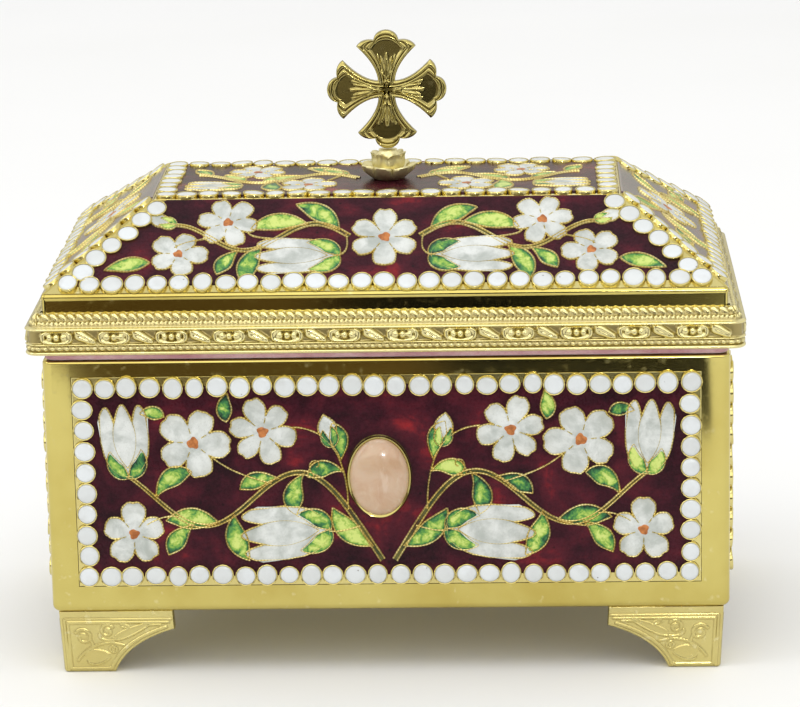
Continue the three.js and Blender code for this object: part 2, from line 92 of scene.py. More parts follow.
class Finish:
    # One material: node() adds any node, its settings first and then the values or links of its sockets.
    def __init__(self, name):
        self.material = bpy.data.materials.new(name)
        self.material.use_nodes = True
        self.tree = self.material.node_tree
        self.tree.nodes.clear()
        self.place = self.node("ShaderNodeTexCoord", out="Object")

    def node(self, kind, settings=None, sockets=None, out=0):
        made = self.tree.nodes.new(kind)
        for key, value in (settings or {}).items():
            setattr(made, key, value)
        for key, value in (sockets or {}).items():
            if isinstance(value, Signal):
                self.tree.links.new(value.socket, made.inputs[key])
            else:
                made.inputs[key].default_value = value
        return Signal(self, made.outputs[out]) if made.outputs else None

    def noise(self, size, detail=3.0, rough=0.5, stretch=(1, 1, 1), twist=0.0):
        # Clouds whose features are about size millimetres across; stretch makes them longer along an axis.
        scaled = self.node("ShaderNodeMapping", None, {0: self.place, 3: tuple(1 / s for s in stretch)})
        sockets = {"Vector": scaled, "Scale": 0.5 / (size * mm), "Detail": detail, "Roughness": rough}
        return self.node("ShaderNodeTexNoise", None, {**sockets, "Distortion": twist})

    def grains(self, size):
        # Distance to the nearest of many scattered points, size millimetres apart.
        sockets = {"Vector": self.place, "Scale": 1 / (size * mm)}
        return self.node("ShaderNodeTexVoronoi", {"feature": "F1"}, sockets)

    def reading(self, name, channel=None):
        # A number kept at each vertex of the piece, or one channel of a colour kept there.
        if channel is None:
            return self.node("ShaderNodeAttribute", {"attribute_name": name}, out="Fac")
        kept = self.node("ShaderNodeAttribute", {"attribute_name": name}, out="Color")
        return self.node("ShaderNodeSeparateColor", None, {0: kept}, out=channel)

    def tint(self, colour):
        return colour if isinstance(colour, Signal) else (*colour, 1)

    def layered(self, colour, *coats):
        # A colour with others laid over it in turn, each given as (share, colour).
        for share, coat in coats:
            sockets = {0: share, 6: self.tint(colour), 7: self.tint(coat)}
            colour = self.node("ShaderNodeMix", {"data_type": "RGBA"}, sockets, out=2)
        return colour

    def ramp(self, share, stops):
        ramp = self.node("ShaderNodeValToRGB", None, {0: share})
        elements = ramp.socket.node.color_ramp.elements
        for index, (position, colour) in enumerate(stops):
            stop = elements[index] if index < len(elements) else elements.new(position)
            stop.position, stop.color = position, (*colour, 1)
        return ramp

    def bumped(self, height, depth, under=None):
        # depth is the height in millimetres that a step of 1 in the pattern stands for.
        sockets = {"Height": height, "Distance": depth * mm, "Strength": 1.0}
        if under is not None:
            sockets["Normal"] = under
        return self.node("ShaderNodeBump", None, sockets)

    def done(self, colour, rough, normal=None, more=None):
        # The finished material; more holds further values by the names of their sockets.
        sockets = {"Base Color": colour, "Roughness": rough, **(more or {})}
        if normal is not None:
            sockets["Normal"] = normal
        return self.shown(self.node("ShaderNodeBsdfPrincipled", None, sockets))

    def glowing(self, colour, strength):
        sockets = {"Color": self.tint(colour), "Strength": strength}
        return self.shown(self.node("ShaderNodeEmission", None, sockets))

    def shown(self, shader):
        self.node("ShaderNodeOutputMaterial", None, {"Surface": shader})
        return self.material


# Colours of the gold: its own, a deeper cloud, pale specks that also serve as painted highlight, painted
# shade for its hollows, and a grey-olive painted shade.
gilt = {"colour": (0.62, 0.525, 0.165), "deep": (0.50, 0.39, 0.095), "speckAndHighlight": (0.90, 0.84, 0.52),
        "hollowShade": (0.19, 0.125, 0.025), "shadeTint": (0.20, 0.195, 0.115)}
wireMill = 0.78  # millimetres from one milled notch of the wire to the next


def giltFinish(name, wave, waveSize, grain, roughness, speckAndHighlight=0.0, shadeTint=0.0, metal=1.0, relief=True):
    # Gold plate on polished brass: large soft waves, fine polishing lines, cloudier and deeper in places.
    # With relief, a number kept on the piece darkens and dulls what lies deep in the ornament: painted shade
    # in its hollows.
    finish = Finish(name)
    cloud = finish.noise(18, 4, 0.6)
    lines = finish.noise(0.35, 3, 0.7, stretch=(14, 14, 1))
    specks = finish.noise(1.1, 2, 0.5)
    # Pale specks, and an even share of pale gold over the whole piece: that share is painted highlight, which
    # makes the band, feet, bud and cups lighter copies of the gold.
    colour = finish.layered(gilt["colour"], (cloud.between(0.35, 0.75), gilt["deep"]),
                            (specks.between(0.62, 0.8) * 0.35 + speckAndHighlight, gilt["speckAndHighlight"]))
    rough = roughness + cloud * 0.06 + specks.between(0.55, 0.75) * 0.06
    if relief:
        hollowShade = finish.reading("hollowShade").held()
        colour = finish.layered(colour, (hollowShade * 0.85, gilt["hollowShade"]))
        rough = rough + hollowShade * roughness * 0.9
    # Painted shade: a grey-olive tint laid evenly over the whole piece, used on the cast cross and the bezel.
    if shadeTint:
        colour = finish.layered(colour, (shadeTint, gilt["shadeTint"]))
    swell = finish.bumped(finish.noise(waveSize, 2, 0.4), wave)
    normal = finish.bumped(lines + specks * 0.6, grain, swell)
    return finish.done(colour, rough, normal, {"Metallic": metal})


def wireFinish(name):
    # Drawn gold wire, milled across: the number "run" is the length along the wire in millimetres.
    finish = Finish(name)
    mill = (finish.reading("run") * (2 * math.pi / wireMill)).wave() * 0.5 + 0.5
    cloud = finish.noise(3, 3)
    # The milled notches are darkened: painted shade in each notch.
    colour = finish.layered((0.84, 0.74, 0.34), (cloud.between(0.3, 0.7), (0.66, 0.53, 0.18)),
                            ((1 - mill) * 0.55, (0.27, 0.175, 0.045)))
    normal = finish.bumped(mill, 0.05, finish.bumped(finish.noise(0.6, 2), 0.02))
    return finish.done(colour, 0.3 + cloud * 0.12, normal, {"Metallic": 1.0})


def groundFinish(name, gloss):
    # Maroon glass over foil: nearly black in places, redder where the foil shines through, with dark pits.
    # The faces seen at a slant carry a glossier coat, which greys them with the light behind.
    finish = Finish(name)
    cloud = finish.noise(6, 4, 0.62, twist=0.4)
    glow = finish.noise(3.0, 3, 0.6, stretch=(2.2, 1, 1))
    fine = finish.noise(0.45, 3, 0.7)
    colour = finish.ramp(cloud * 0.75 + glow * 0.35 + fine * 0.06, [
        (0.42, (0.014, 0.0022, 0.0048)), (0.56, (0.038, 0.0042, 0.0100)),
        (0.67, (0.078, 0.0075, 0.0150)), (0.79, (0.27, 0.015, 0.018)),
    ])
    dark = finish.grains(5.2).between(0.10, 0.02)
    colour = finish.layered(colour, (fine.between(0.52, 0.75) * 0.4, (0.07, 0.010, 0.024)),
                            (dark * 0.85, (0.008, 0.002, 0.003)))
    normal = finish.bumped(cloud, 0.16, finish.bumped(fine, 0.008))
    shine = {"Specular IOR Level": 0.14 + gloss * 0.4, "Coat Weight": gloss * 0.8, "Coat Roughness": 0.12}
    return finish.done(colour, 0.2 + fine * 0.16, normal, shine)


def leafFinish(name):
    # Green glass: dark along the rim and at the tip, emerald within, yellow-green where it lies thin. The
    # dark rim and tip round a lighter middle are partly its own tone and partly painted shade and highlight,
    # as on a domed cell.
    # "cell" keeps the share along the leaf, the share across it and a number of the leaf's own.
    finish = Finish(name)
    along, across, own = (finish.reading("cell", channel) for channel in ("Red", "Green", "Blue"))
    patch = finish.noise(1.5, 4, 0.7, twist=0.6)
    streak = finish.noise(0.7, 3, 0.65, stretch=(1, 3, 1), twist=0.4)
    fine = finish.noise(0.3, 3, 0.7)
    # Lighter in the middle, darker at the rim and the tip: partly painted shade and highlight.
    inner = (1 - across ** 2.4) * (along * math.pi).wave() ** 0.6
    light = inner * 0.62 + own * 0.42 + (patch - 0.5) * 1.75 + (streak - 0.5) * 0.6 - 0.03
    colour = finish.ramp(light + (fine - 0.5) * 0.25, [
        (0.08, (0.006, 0.018, 0.010)), (0.26, (0.012, 0.070, 0.026)), (0.44, (0.035, 0.17, 0.050)),
        (0.60, (0.12, 0.31, 0.050)), (0.76, (0.34, 0.50, 0.080)), (0.94, (0.58, 0.68, 0.180)),
    ])
    normal = finish.bumped(patch, 0.22, finish.bumped(fine, 0.04))
    return finish.done(colour, 0.22 + fine * 0.2, normal, {"Specular IOR Level": 0.3})


def petalFinish(name):
    # Off-white glass, grey and green in drifts, stippled with fine pits and bubbles, darker at its rim:
    # painted shade where the domed petal falls to its wire.
    finish = Finish(name)
    across, own = finish.reading("cell", "Green"), finish.reading("cell", "Blue")
    drift = finish.noise(3.0, 4, 0.62, twist=0.3)
    fine = finish.noise(0.26, 3, 0.8)
    pits = finish.grains(0.7).between(0.17, 0.04)
    # The darker rim is painted shade.
    colour = finish.layered(
        (0.70, 0.72, 0.69), (drift.between(0.34, 0.70), (0.39, 0.42, 0.385)), (own * 0.2, (0.58, 0.58, 0.55)),
        (across ** 5.0 * 0.4, (0.40, 0.40, 0.33)), (fine.between(0.54, 0.74) * 0.45, (0.44, 0.45, 0.41)),
        (pits * 0.42, (0.26, 0.24, 0.20)))
    normal = finish.bumped(fine - pits * 0.6, 0.06, finish.bumped(drift, 0.22))
    return finish.done(colour, 0.3 + fine * 0.25, normal, {"Specular IOR Level": 0.4})


def smallGlassFinish(name, light, dark, size=0.8):
    # Opaque glass of one colour, clouded between a light and a dark tone.
    finish = Finish(name)
    cloud = finish.noise(size, 4, 0.65)
    colour = finish.layered(light, (cloud.between(0.35, 0.68), dark))
    return finish.done(colour, 0.25 + cloud * 0.2, finish.bumped(cloud, 0.05), {"Specular IOR Level": 0.3})


def beadFinish(name):
    # White bead glass: almost plain, with a faint warm or grey tone from bead to bead and a few dark pits,
    # and a painted shade round its edge where it meets the cup.
    finish = Finish(name)
    own, edge = finish.reading("cell", "Blue"), finish.reading("cell", "Green")
    cloud = finish.noise(1.8, 3, 0.5)
    pits = finish.grains(3.4).between(0.055, 0.035)
    # The warm grey round the edge is painted shade at the joint with the cup.
    colour = finish.layered(
        (0.70, 0.73, 0.74), (own, (0.62, 0.64, 0.63)),
        (cloud.between(0.45, 0.75) * 0.6, (0.57, 0.585, 0.575)),
        (edge ** 8.0 * 0.6, (0.50, 0.49, 0.40)), (pits, (0.10, 0.08, 0.06)))
    normal = finish.bumped(cloud, 0.16, finish.bumped(finish.noise(0.5, 2) - pits, 0.02))
    return finish.done(colour, 0.16 + cloud * 0.1, normal, {"Specular IOR Level": 0.45})


def stoneFinish(name):
    # Peach stone: cloudy, with thin pale veins, waxy and slightly translucent.
    finish = Finish(name)
    cloud = finish.noise(4, 4, 0.6, twist=0.8)
    vein = finish.noise(2.0, 5, 0.6, stretch=(1, 1, 2.5), twist=1.2)
    colour = finish.layered((0.48, 0.29, 0.165), (cloud.between(0.3, 0.7), (0.55, 0.39, 0.26)),
                            (vein.between(0.54, 0.70) * 0.4, (0.66, 0.52, 0.40)))
    depth = {"Subsurface Weight": 0.2, "Subsurface Radius": (0.004, 0.002, 0.001), "Subsurface Scale": 1.0}
    return finish.done(colour, 0.13 + vein * 0.1, finish.bumped(cloud, 0.05),
                       {**depth, "Coat Weight": 0.5, "Coat Roughness": 0.06})


def velvetFinish(name):
    # Pink velvet: a short pile brushed in patches, with darker nap between the tufts.
    finish = Finish(name)
    brushed = finish.noise(7, 4, 0.6)
    pile = finish.noise(0.22, 3, 0.8)
    colour = finish.layered((0.44, 0.21, 0.24), (brushed.between(0.3, 0.7), (0.64, 0.44, 0.46)),
                            (pile.between(0.45, 0.75) * 0.6, (0.42, 0.10, 0.16)))
    normal = finish.bumped(pile, 0.09, finish.bumped(brushed, 0.12))
    return finish.done(colour, 0.85 + pile * 0.1, normal, {"Sheen Weight": 0.6, "Sheen Roughness": 0.4})


# ---- meshes ----
def gridFaces(rows, columns, roundRows=False, roundColumns=False):
    # The quads between neighbouring points of a grid; a round direction joins its last line to its first.
    r = np.arange(rows if roundRows else rows - 1)[:, None]
    c = np.arange(columns if roundColumns else columns - 1)[None, :]
    nextR, nextC = (r + 1) % rows, (c + 1) % columns
    corners = [r * columns + c, nextR * columns + c, nextR * columns + nextC, r * columns + nextC]
    return np.stack([np.broadcast_to(k, (r.size, c.size)) for k in corners], -1).reshape(-1, 4)


def gathered(parts):
    # Many (points, quads, readings) as one; readings are numbers or colours kept at each point.
    starts = np.cumsum([0] + [len(points) for points, _, _ in parts])[:-1]
    points = np.concatenate([points for points, _, _ in parts])
    quads = np.concatenate([quads + start for (_, quads, _), start in zip(parts, starts)])
    names = parts[0][2].keys()
    return points, quads, {name: np.concatenate([part[2][name] for part in parts]) for name in names}


def grid(points, readings=None, roundRows=False, roundColumns=False):
    # A grid of points, rows x columns x 3, as (points, quads, readings).
    rows, columns = points.shape[:2]
    kept = {name: value.reshape(rows * columns, -1).squeeze() for name, value in (readings or {}).items()}
    return points.reshape(-1, 3), gridFaces(rows, columns, roundRows, roundColumns), kept


def piece(name, made, finish, slot, node=None, sharp=38):
    # A finished piece: doubles merged, faces turned outwards, riding with the casket.
    points, quads, readings = made
    mesh = bpy.data.meshes.new(name)
    mesh.vertices.add(len(points))
    mesh.vertices.foreach_set("co", (points * mm).astype(np.float32).ravel())
    mesh.loops.add(quads.size)
    mesh.loops.foreach_set("vertex_index", quads.astype(np.int32).ravel())
    mesh.polygons.add(len(quads))
    mesh.polygons.foreach_set("loop_start", np.arange(0, quads.size, 4, dtype=np.int32))
    for key, value in readings.items():
        kind, field = ("FLOAT_COLOR", "color") if value.ndim > 1 else ("FLOAT", "value")
        layer = mesh.attributes.new(key, kind, "POINT")
        layer.data.foreach_set(field, value.astype(np.float32).ravel())
    mesh.update(calc_edges=True)
    work = bmesh.new()
    work.from_mesh(mesh)
    bmesh.ops.remove_doubles(work, verts=work.verts, dist=0.0015 * mm)
    bmesh.ops.recalc_face_normals(work, faces=work.faces)
    work.to_mesh(mesh)
    work.free()
    mesh.polygons.foreach_set("use_smooth", np.ones(len(mesh.polygons), dtype=bool))
    mesh.set_sharp_from_angle(angle=math.radians(sharp))
    mesh.materials.append(finish)
    thing = bpy.data.objects.new(name, mesh)
    bpy.context.scene.collection.objects.link(thing)
    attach(thing, "root")
    if node:
        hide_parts(node)
    return thing


def smooth(x):
    x = np.clip(x, 0, 1)
    return x * x * (3 - 2 * x)


def bow(x):
    # A quarter circle's height: 1 at zero, 0 from one onwards.
    return np.sqrt(np.clip(1 - x ** 2, 0, 1))


def ridge(distance, width, height):
    # A half-round rib of that half width and height.
    return height * bow(distance / width)


def unit(angle):
    return np.stack([np.cos(angle), np.sin(angle)], -1)


def fullTurn(steps):
    return np.linspace(0, 2 * math.pi, steps, endpoint=False)


def toPath(points, path):
    # Distance from each point to a path of short straight pieces.
    start, step = path[:-1], np.diff(path, axis=0)
    apart = points[..., None, :] - start
    share = np.clip((apart * step).sum(-1) / np.maximum((step * step).sum(-1), 1e-9), 0, 1)
    return np.linalg.norm(apart - share[..., None] * step, axis=-1).min(-1)


def bent(points, count=24):
    # A smooth curve through four points or fewer, with those points for the handles of a Bezier curve.
    t = np.linspace(0, 1, count)[:, None]
    order = len(points) - 1
    return sum(math.comb(order, k) * (1 - t) ** (order - k) * t ** k * np.asarray(point, float)
               for k, point in enumerate(points))


def turnColumns(marksX, marksY, arcSteps):
    # The columns of one turn round a rounded rectangle, counter-clockwise from its front left corner.
    # A column's point is sign * half size + move + radius * bend. Marks are places along a side, from its
    # middle, or distances from the nearer corner when they are given as ("corner", distance).
    signs, moves, bends = [], [], []
    corners = np.array([(-1, -1), (1, -1), (1, 1), (-1, 1)])
    for side, corner in enumerate(corners):
        arc = unit(np.radians(np.linspace(-180, -90, arcSteps) + 90 * side))
        signs += [corner] * arcSteps
        moves += [(0, 0)] * arcSteps
        bends += list(arc - corner)
        ahead = corners[(side + 1) % 4]
        along = (ahead - corner) / 2
        for mark in (marksX, marksY)[side % 2]:
            near, place = mark if isinstance(mark, tuple) else ("middle", mark)
            nearest = corner if place > 0 else ahead
            signs.append(nearest if near == "corner" else (corner + ahead) / 2)
            moves.append(along * place)
            bends.append((0, 0))
    return np.array(signs, float), np.array(moves, float), np.array(bends, float)


def insets(halfX, halfY, rows):
    # Levels for turned() from rows of (how far inside both half sizes, corner radius, height).
    return [(halfX - inset, halfY - inset, radius, z) for inset, radius, z in rows]


def turned(levels, columns):
    # Levels are rows of (half x, half y, radius, z): each is one turn, and together they are a wall.
    signs, moves, bends = columns
    levels = np.asarray(levels, float)
    flat = signs * levels[:, None, :2] + moves + levels[:, None, 2:3] * bends
    heights = np.broadcast_to(levels[:, None, 3:4], flat.shape[:2] + (1,))
    return np.concatenate([flat, heights], -1)


def closedTurns(points, readings=None):
    # The wall with its first and last turn drawn together to a point, which closes it.
    ends = [np.broadcast_to(row.mean(0), row.shape)[None] for row in (points[0], points[-1])]
    kept = {name: np.concatenate([value[:1], value, value[-1:]]) for name, value in (readings or {}).items()}
    return grid(np.concatenate([ends[0], points, ends[1]]), kept, roundColumns=True)


def placed(face, made):
    # From a face's own plane (x along it, y up it, z out of it) to the casket's.
    points, quads, readings = made
    tilt, turn = math.radians(face["tilt"]), math.radians(face["turn"])
    x, y, z = points[..., 0], points[..., 1], points[..., 2]
    back = y * math.cos(tilt) - z * math.sin(tilt) - face["out"]
    up = y * math.sin(tilt) + z * math.cos(tilt) + face["height"]
    across, deep = x * math.cos(turn) - back * math.sin(turn), x * math.sin(turn) + back * math.cos(turn)
    return np.stack([across, deep, up], -1), quads, readings


def solidGrid(top, bottom):
    # Two grids of the same shape, one over the other, closed round their edge.
    rows, columns = top.shape[:2]
    count = rows * columns
    quads = gridFaces(rows, columns)
    rim = np.concatenate([np.arange(columns), np.arange(1, rows) * columns + columns - 1,
                          count - 2 - np.arange(columns - 1), np.arange(rows - 2, 0, -1) * columns])
    ahead = np.roll(rim, -1)
    skirt = np.stack([rim, ahead, ahead + count, rim + count], -1)
    points = np.concatenate([top.reshape(-1, 3), bottom.reshape(-1, 3)])
    return points, np.concatenate([quads, quads[:, ::-1] + count, skirt]), {}


def lathe(profile, steps, waver=1):
    # A profile of (radius, z) turned about z; waver scales the radius at each (profile point, angle).
    profile = np.asarray(profile, float)
    flat = (profile[:, :1] * waver)[..., None] * unit(fullTurn(steps))
    return np.concatenate([flat, np.broadcast_to(profile[:, None, 1:], flat.shape[:2] + (1,))], -1)


# ---- the box and the lid ----
box = {"halfX": 82.5, "halfY": 46.5, "bottom": 16, "rim": 79.1, "wall": 2.2, "floor": 1.6, "corner": 2.5,
       "edge": 1.6, "bed": 1.2, "middle": 49}
lid = {"halfX": 82, "halfY": 46.5, "neck": 0.2, "bottom": 81.5, "eave": 95.5, "top": 113.2, "run": 25,
       "lip": 1.1, "wall": 1.8, "roof": 2.3, "margin": 3}
plate = {"margin": 2.45, "thick": 0.9, "edge": 0.1, "gap": 0.25, "lift": 0.04, "overlap": 0.17}
sharpStep = 0.02  # the width of a step between two levels, so that it stays sharp
slopeTilt = math.atan2(lid["top"] - lid["eave"], lid["run"])
slopeLong = math.hypot(lid["top"] - lid["eave"], lid["run"])
boxRows, rowPitch = 10, 5.26  # the bead cups up each side of a wall's plaque


def rectangle(x, y):
    return np.array([(-x, -y), (x, -y), (x, y), (-x, y)])


def boxFace(node, turn, out, columns, pitch):
    corners = rectangle((columns - 1) * pitch / 2, (boxRows - 1) * rowPitch / 2)
    return {"node": node, "turn": turn, "out": out, "height": box["middle"], "tilt": 90,
            "corners": corners, "beads": (columns, boxRows, columns, boxRows)}


def slopeFace(node, turn, out, half, columns):
    lean, margin = math.cos(slopeTilt), lid["margin"]
    x = half - margin * (1 + math.hypot(1, 1 / lean)) * lean
    top = slopeLong - margin
    topX = x - (top - margin) * lean
    corners = np.array([(-x, margin), (x, margin), (topX, top), (-topX, top)])
    return {"node": node, "turn": turn, "out": out, "height": lid["eave"], "tilt": math.degrees(slopeTilt),
            "corners": corners, "beads": (columns, 7, 0, 7)}


def topFace(node):
    away = lid["run"] + lid["margin"]
    return {"node": node, "turn": 0, "out": 0, "height": lid["top"], "tilt": 0,
            "corners": rectangle(lid["halfX"] - away, lid["halfY"] - away), "beads": (21, 8, 21, 8)}


faces = {
    "front": boxFace("front_enamel_plaque", 0, box["halfY"], 28, 5.4),
    "right": boxFace("right_enamel_plaque", 90, box["halfX"], 15, 5.3),
    "back": boxFace("back_enamel_plaque", 180, box["halfY"], 28, 5.4),
    "left": boxFace("left_enamel_plaque", 270, box["halfX"], 15, 5.3),
    "lidFront": slopeFace("lid_front_enamel_plaque", 0, lid["halfY"], lid["halfX"], 29),
    "lidRight": slopeFace("lid_right_enamel_plaque", 90, lid["halfX"], lid["halfY"], 16),
    "lidBack": slopeFace("lid_back_enamel_plaque", 180, lid["halfY"], lid["halfX"], 29),
    "lidLeft": slopeFace("lid_left_enamel_plaque", 270, lid["halfX"], lid["halfY"], 16),
    "lidTop": topFace("lid_top_enamel_plaque"),
}


def grown(corners, distance):
    # A convex outline moved outwards; distance is one number or one for each side.
    ahead = np.roll(corners, -1, axis=0)
    along = (ahead - corners) / np.linalg.norm(ahead - corners, axis=1, keepdims=True)
    out = np.broadcast_to(np.asarray(distance, float), len(corners))[:, None]
    start = corners + np.stack([along[:, 1], -along[:, 0]], 1) * out
    before, beforeAlong = np.roll(start, 1, axis=0), np.roll(along, 1, axis=0)
    cross = beforeAlong[:, 0] * along[:, 1] - beforeAlong[:, 1] * along[:, 0]
    apart = start - before
    reach = (apart[:, 0] * along[:, 1] - apart[:, 1] * along[:, 0]) / cross
    return before + beforeAlong * reach[:, None]


def boxWall():
    # The box as one skin: over the floor inside, up the wall, over the rim, down outside, and underneath,
    # with a shallow bed sunk in each wall for its plaque.
    bedX, bedZ = faces["front"]["corners"][2] + plate["margin"] + plate["gap"]
    bedY = faces["right"]["corners"][2][0] + plate["margin"] + plate["gap"]
    marksX = [-bedX, sharpStep - bedX, -bedX / 2, 0, bedX / 2, bedX - sharpStep, bedX]
    marksY = [-bedY, sharpStep - bedY, 0, bedY - sharpStep, bedY]
    arcSteps = 9
    columns = turnColumns(marksX, marksY, arcSteps)
    wall, corner, edge, rim = box["wall"], box["corner"], box["edge"], box["rim"]
    floor, low, high = box["bottom"] + box["floor"], box["middle"] - bedZ, box["middle"] + bedZ
    rows = [(wall + 1, 0.3, floor), (wall + 0.3, 0.5, floor + 0.2), (wall, 0.6, floor + 1),
            (wall, 0.6, rim - 0.3),
            (wall - 0.3, 0.8, rim), (0.5, corner - 0.5, rim), (0.15, corner - 0.15, rim - 0.12),
            (0, corner, rim - 0.45), (0, corner, rim - 0.6)]
    bedRows = slice(len(rows) + 1, len(rows) + 6)
    bottomEdge = box["bottom"] + edge + 0.2
    rows += [(0, corner, z) for z in (high, high - sharpStep, 62, 49, 36, low + sharpStep, low, bottomEdge)]
    for turn in np.radians(np.linspace(0, 90, 7)):
        inset = edge * (1 - math.cos(turn))
        rows.append((inset, max(corner - inset, 0.4), box["bottom"] + edge * (1 - math.sin(turn))))
    rows.append((6, 0.4, box["bottom"]))
    points = turned(insets(box["halfX"], box["halfY"], rows), columns)
    first = arcSteps + 1
    for side in range(4):
        count = len((marksX, marksY)[side % 2])
        spans = slice(first, first + count - 2)
        points[bedRows, spans, :2] -= box["bed"] * columns[0][spans]
        first += arcSteps + count
    return closedTurns(points)


def lidShell():
    # The lid as one skin: under the roof inside, down the neck, round its foot, up outside, round the thin
    # lip and up the four slopes to the flat top. The slopes and the top carry shallow beds.
    eave, bottom, neck, run = lid["eave"], lid["bottom"], lid["neck"], lid["run"]
    under = eave - lid["lip"]
    pitch, lean = (lid["top"] - eave) / run, math.cos(slopeTilt)
    drop = lid["roof"] / lean
    inner = neck + lid["wall"]
    across = lid["margin"] - plate["margin"] - plate["gap"]
    near = across * (lean + math.hypot(1, lean))
    marks = [("corner", place) for place in (near - sharpStep, near, -near, sharpStep - near)]
    arcSteps = 4
    ceiling = lid["top"] - lid["roof"]
    rows = [((ceiling + drop - eave) / pitch, 0.3, ceiling), (inner, 0.4, eave + inner * pitch - drop),
            (inner, 0.4, bottom + 0.2), (inner - 0.2, 0.5, bottom), (neck + 0.3, 0.6, bottom),
            (neck, 0.9, bottom + 0.3), (neck, 0.9, bottom + 0.5),
            (neck, 0.9, under - 0.4), (neck, 0.9, under - 0.1),
            (neck - sharpStep, 0.9, under), (0.1, 0.8, under), (0.02, 0.9, eave - 0.95), (0, 0.9, eave - 0.6),
            (0.05, 0.9, eave - 0.18), (0.3, 0.8, eave + 0.12)]
    bedRows = slice(len(rows) + 1, len(rows) + 5)
    low, step = across / slopeLong, 0.0008
    rows += [(run * share, 0.45, eave + pitch * run * share)
             for share in (low, low + step, 0.3, 0.6, 1 - low - step, 1 - low, 1)]
    rows += [(run + across, 0.4, lid["top"]), (run + across + sharpStep, 0.4, lid["top"] - box["bed"])]
    points = turned(insets(lid["halfX"], lid["halfY"], rows), turnColumns(marks, marks, arcSteps))
    for side, (x, y) in enumerate([(0, -1), (1, 0), (0, 1), (-1, 0)]):
        first = side * (arcSteps + len(marks)) + arcSteps + 1
        sink = np.array([x * math.sin(slopeTilt), y * math.sin(slopeTilt), lean]) * box["bed"]
        points[bedRows, first:first + 2] -= sink
    return closedTurns(points)


lining = {"wall": 1.2, "flange": 1.8, "slack": 0.3, "setBack": 0.4, "bulge": 0.12, "waver": 0.14}


def velvetLining():
    # A soft tray: floor, wall, and an edge turned out over the rim that bulges where the lid presses it.
    slack, wall, back = lining["slack"], lining["wall"], lining["setBack"]
    outer = box["wall"] + slack
    inner = outer + wall
    floor, low = box["bottom"] + box["floor"] + slack, box["rim"] + slack
    high = low + lining["flange"]
    columns = turnColumns(list(np.linspace(-78, 78, 160)), list(np.linspace(-42, 42, 90)), 5)
    rows = [(inner + 3, 1, floor + wall), (inner + 0.6, 1.4, floor + wall + 0.2),
            (inner, 1.5, floor + wall + 1),
            (inner, 1.5, 40), (inner, 1.5, 60), (inner, 1.5, high - 0.5), (inner - 0.2, 1.6, high - 0.12),
            (inner - 0.6, 1.8, high), (back + 0.6, 2.2, high), (back + 0.18, 2.4, high - 0.25),
            (back, 2.5, (low + high) / 2), (back + 0.15, 2.4, low + 0.2), (back + 0.5, 2.2, low),
            (outer - 0.3, 1.6, low), (outer, 1.5, low - 0.3), (outer, 1.5, 50), (outer, 1.5, floor + 0.3),
            (outer + 0.3, 1.3, floor)]
    points = turned(insets(box["halfX"], box["halfY"], rows), columns)
    around = np.arange(points.shape[1])
    waver = sum(np.sin(around * rate + lag) for rate, lag in ((0.21, 0.4), (0.57, 2.1), (1.31, 4.0))) / 3
    edge = np.zeros(len(rows))
    edge[8:13] = (0.4, 0.9, 1, 0.9, 0.4)
    bulge = edge[:, None] * (lining["bulge"] + lining["waver"] * waver)
    points[..., :2] -= bulge[..., None] * np.sign(columns[0])
    return closedTurns(points)


# ---- the stamped band ----
band = {"halfX": 86, "halfY": 50, "corner": 3.4, "step": 0.29, "farStep": 0.55, "arcSteps": 15, "shift": 0.32,
        "ringLong": 3.95, "ringHigh": 1.78, "ringRib": 0.42, "ball": 0.84, "ballPitch": 1.66, "strap": 0.9,
        "friezeMiddle": 85.9, "pearl": 0.62, "pearlPitch": 1.7, "pearlMiddle": 83.12, "cordPitch": 2.1,
        "cordMiddle": 89.72, "cordOut": 0.62, "cordUp": 0.78, "motifs": (12, 7)}
bandProfile = [
    # how far out from the box, the height, and which ornament it carries
    (-2.1, 91.3, ""), (-0.2, 91.3, ""), (0.1, 91.2, ""),
    *[(0.1 + 2.55 * k / 17, 91.2 - 2.95 * k / 17, "cord") for k in range(1, 17)],
    (2.75, 88.2, ""), (3.2, 88.1, ""), (3.5, 87.98, ""), (3.6, 87.78, ""), (3.5, 87.58, ""), (3.1, 87.5, ""),
    *[(2.78, 87.5 - 3.2 * k / 17, "frieze") for k in range(1, 17)],
    (3.1, 84.28, ""), (3.42, 84.2, ""), (3.5, 84.08, ""), (3.42, 83.95, ""),
    *[(2.85, 83.9 - 1.5 * k / 7, "pearls") for k in range(0, 8)],
    (3.3, 82.3, ""), (3.5, 82.1, ""), (3.5, 81.8, ""), (3.3, 81.58, ""), (3.0, 81.5, ""), (-2.1, 81.5, ""),
]


def repeated(along, pitch):
    # The same distance, counted from the middle of the nearest repeat.
    return (along + pitch / 2) % pitch - pitch / 2


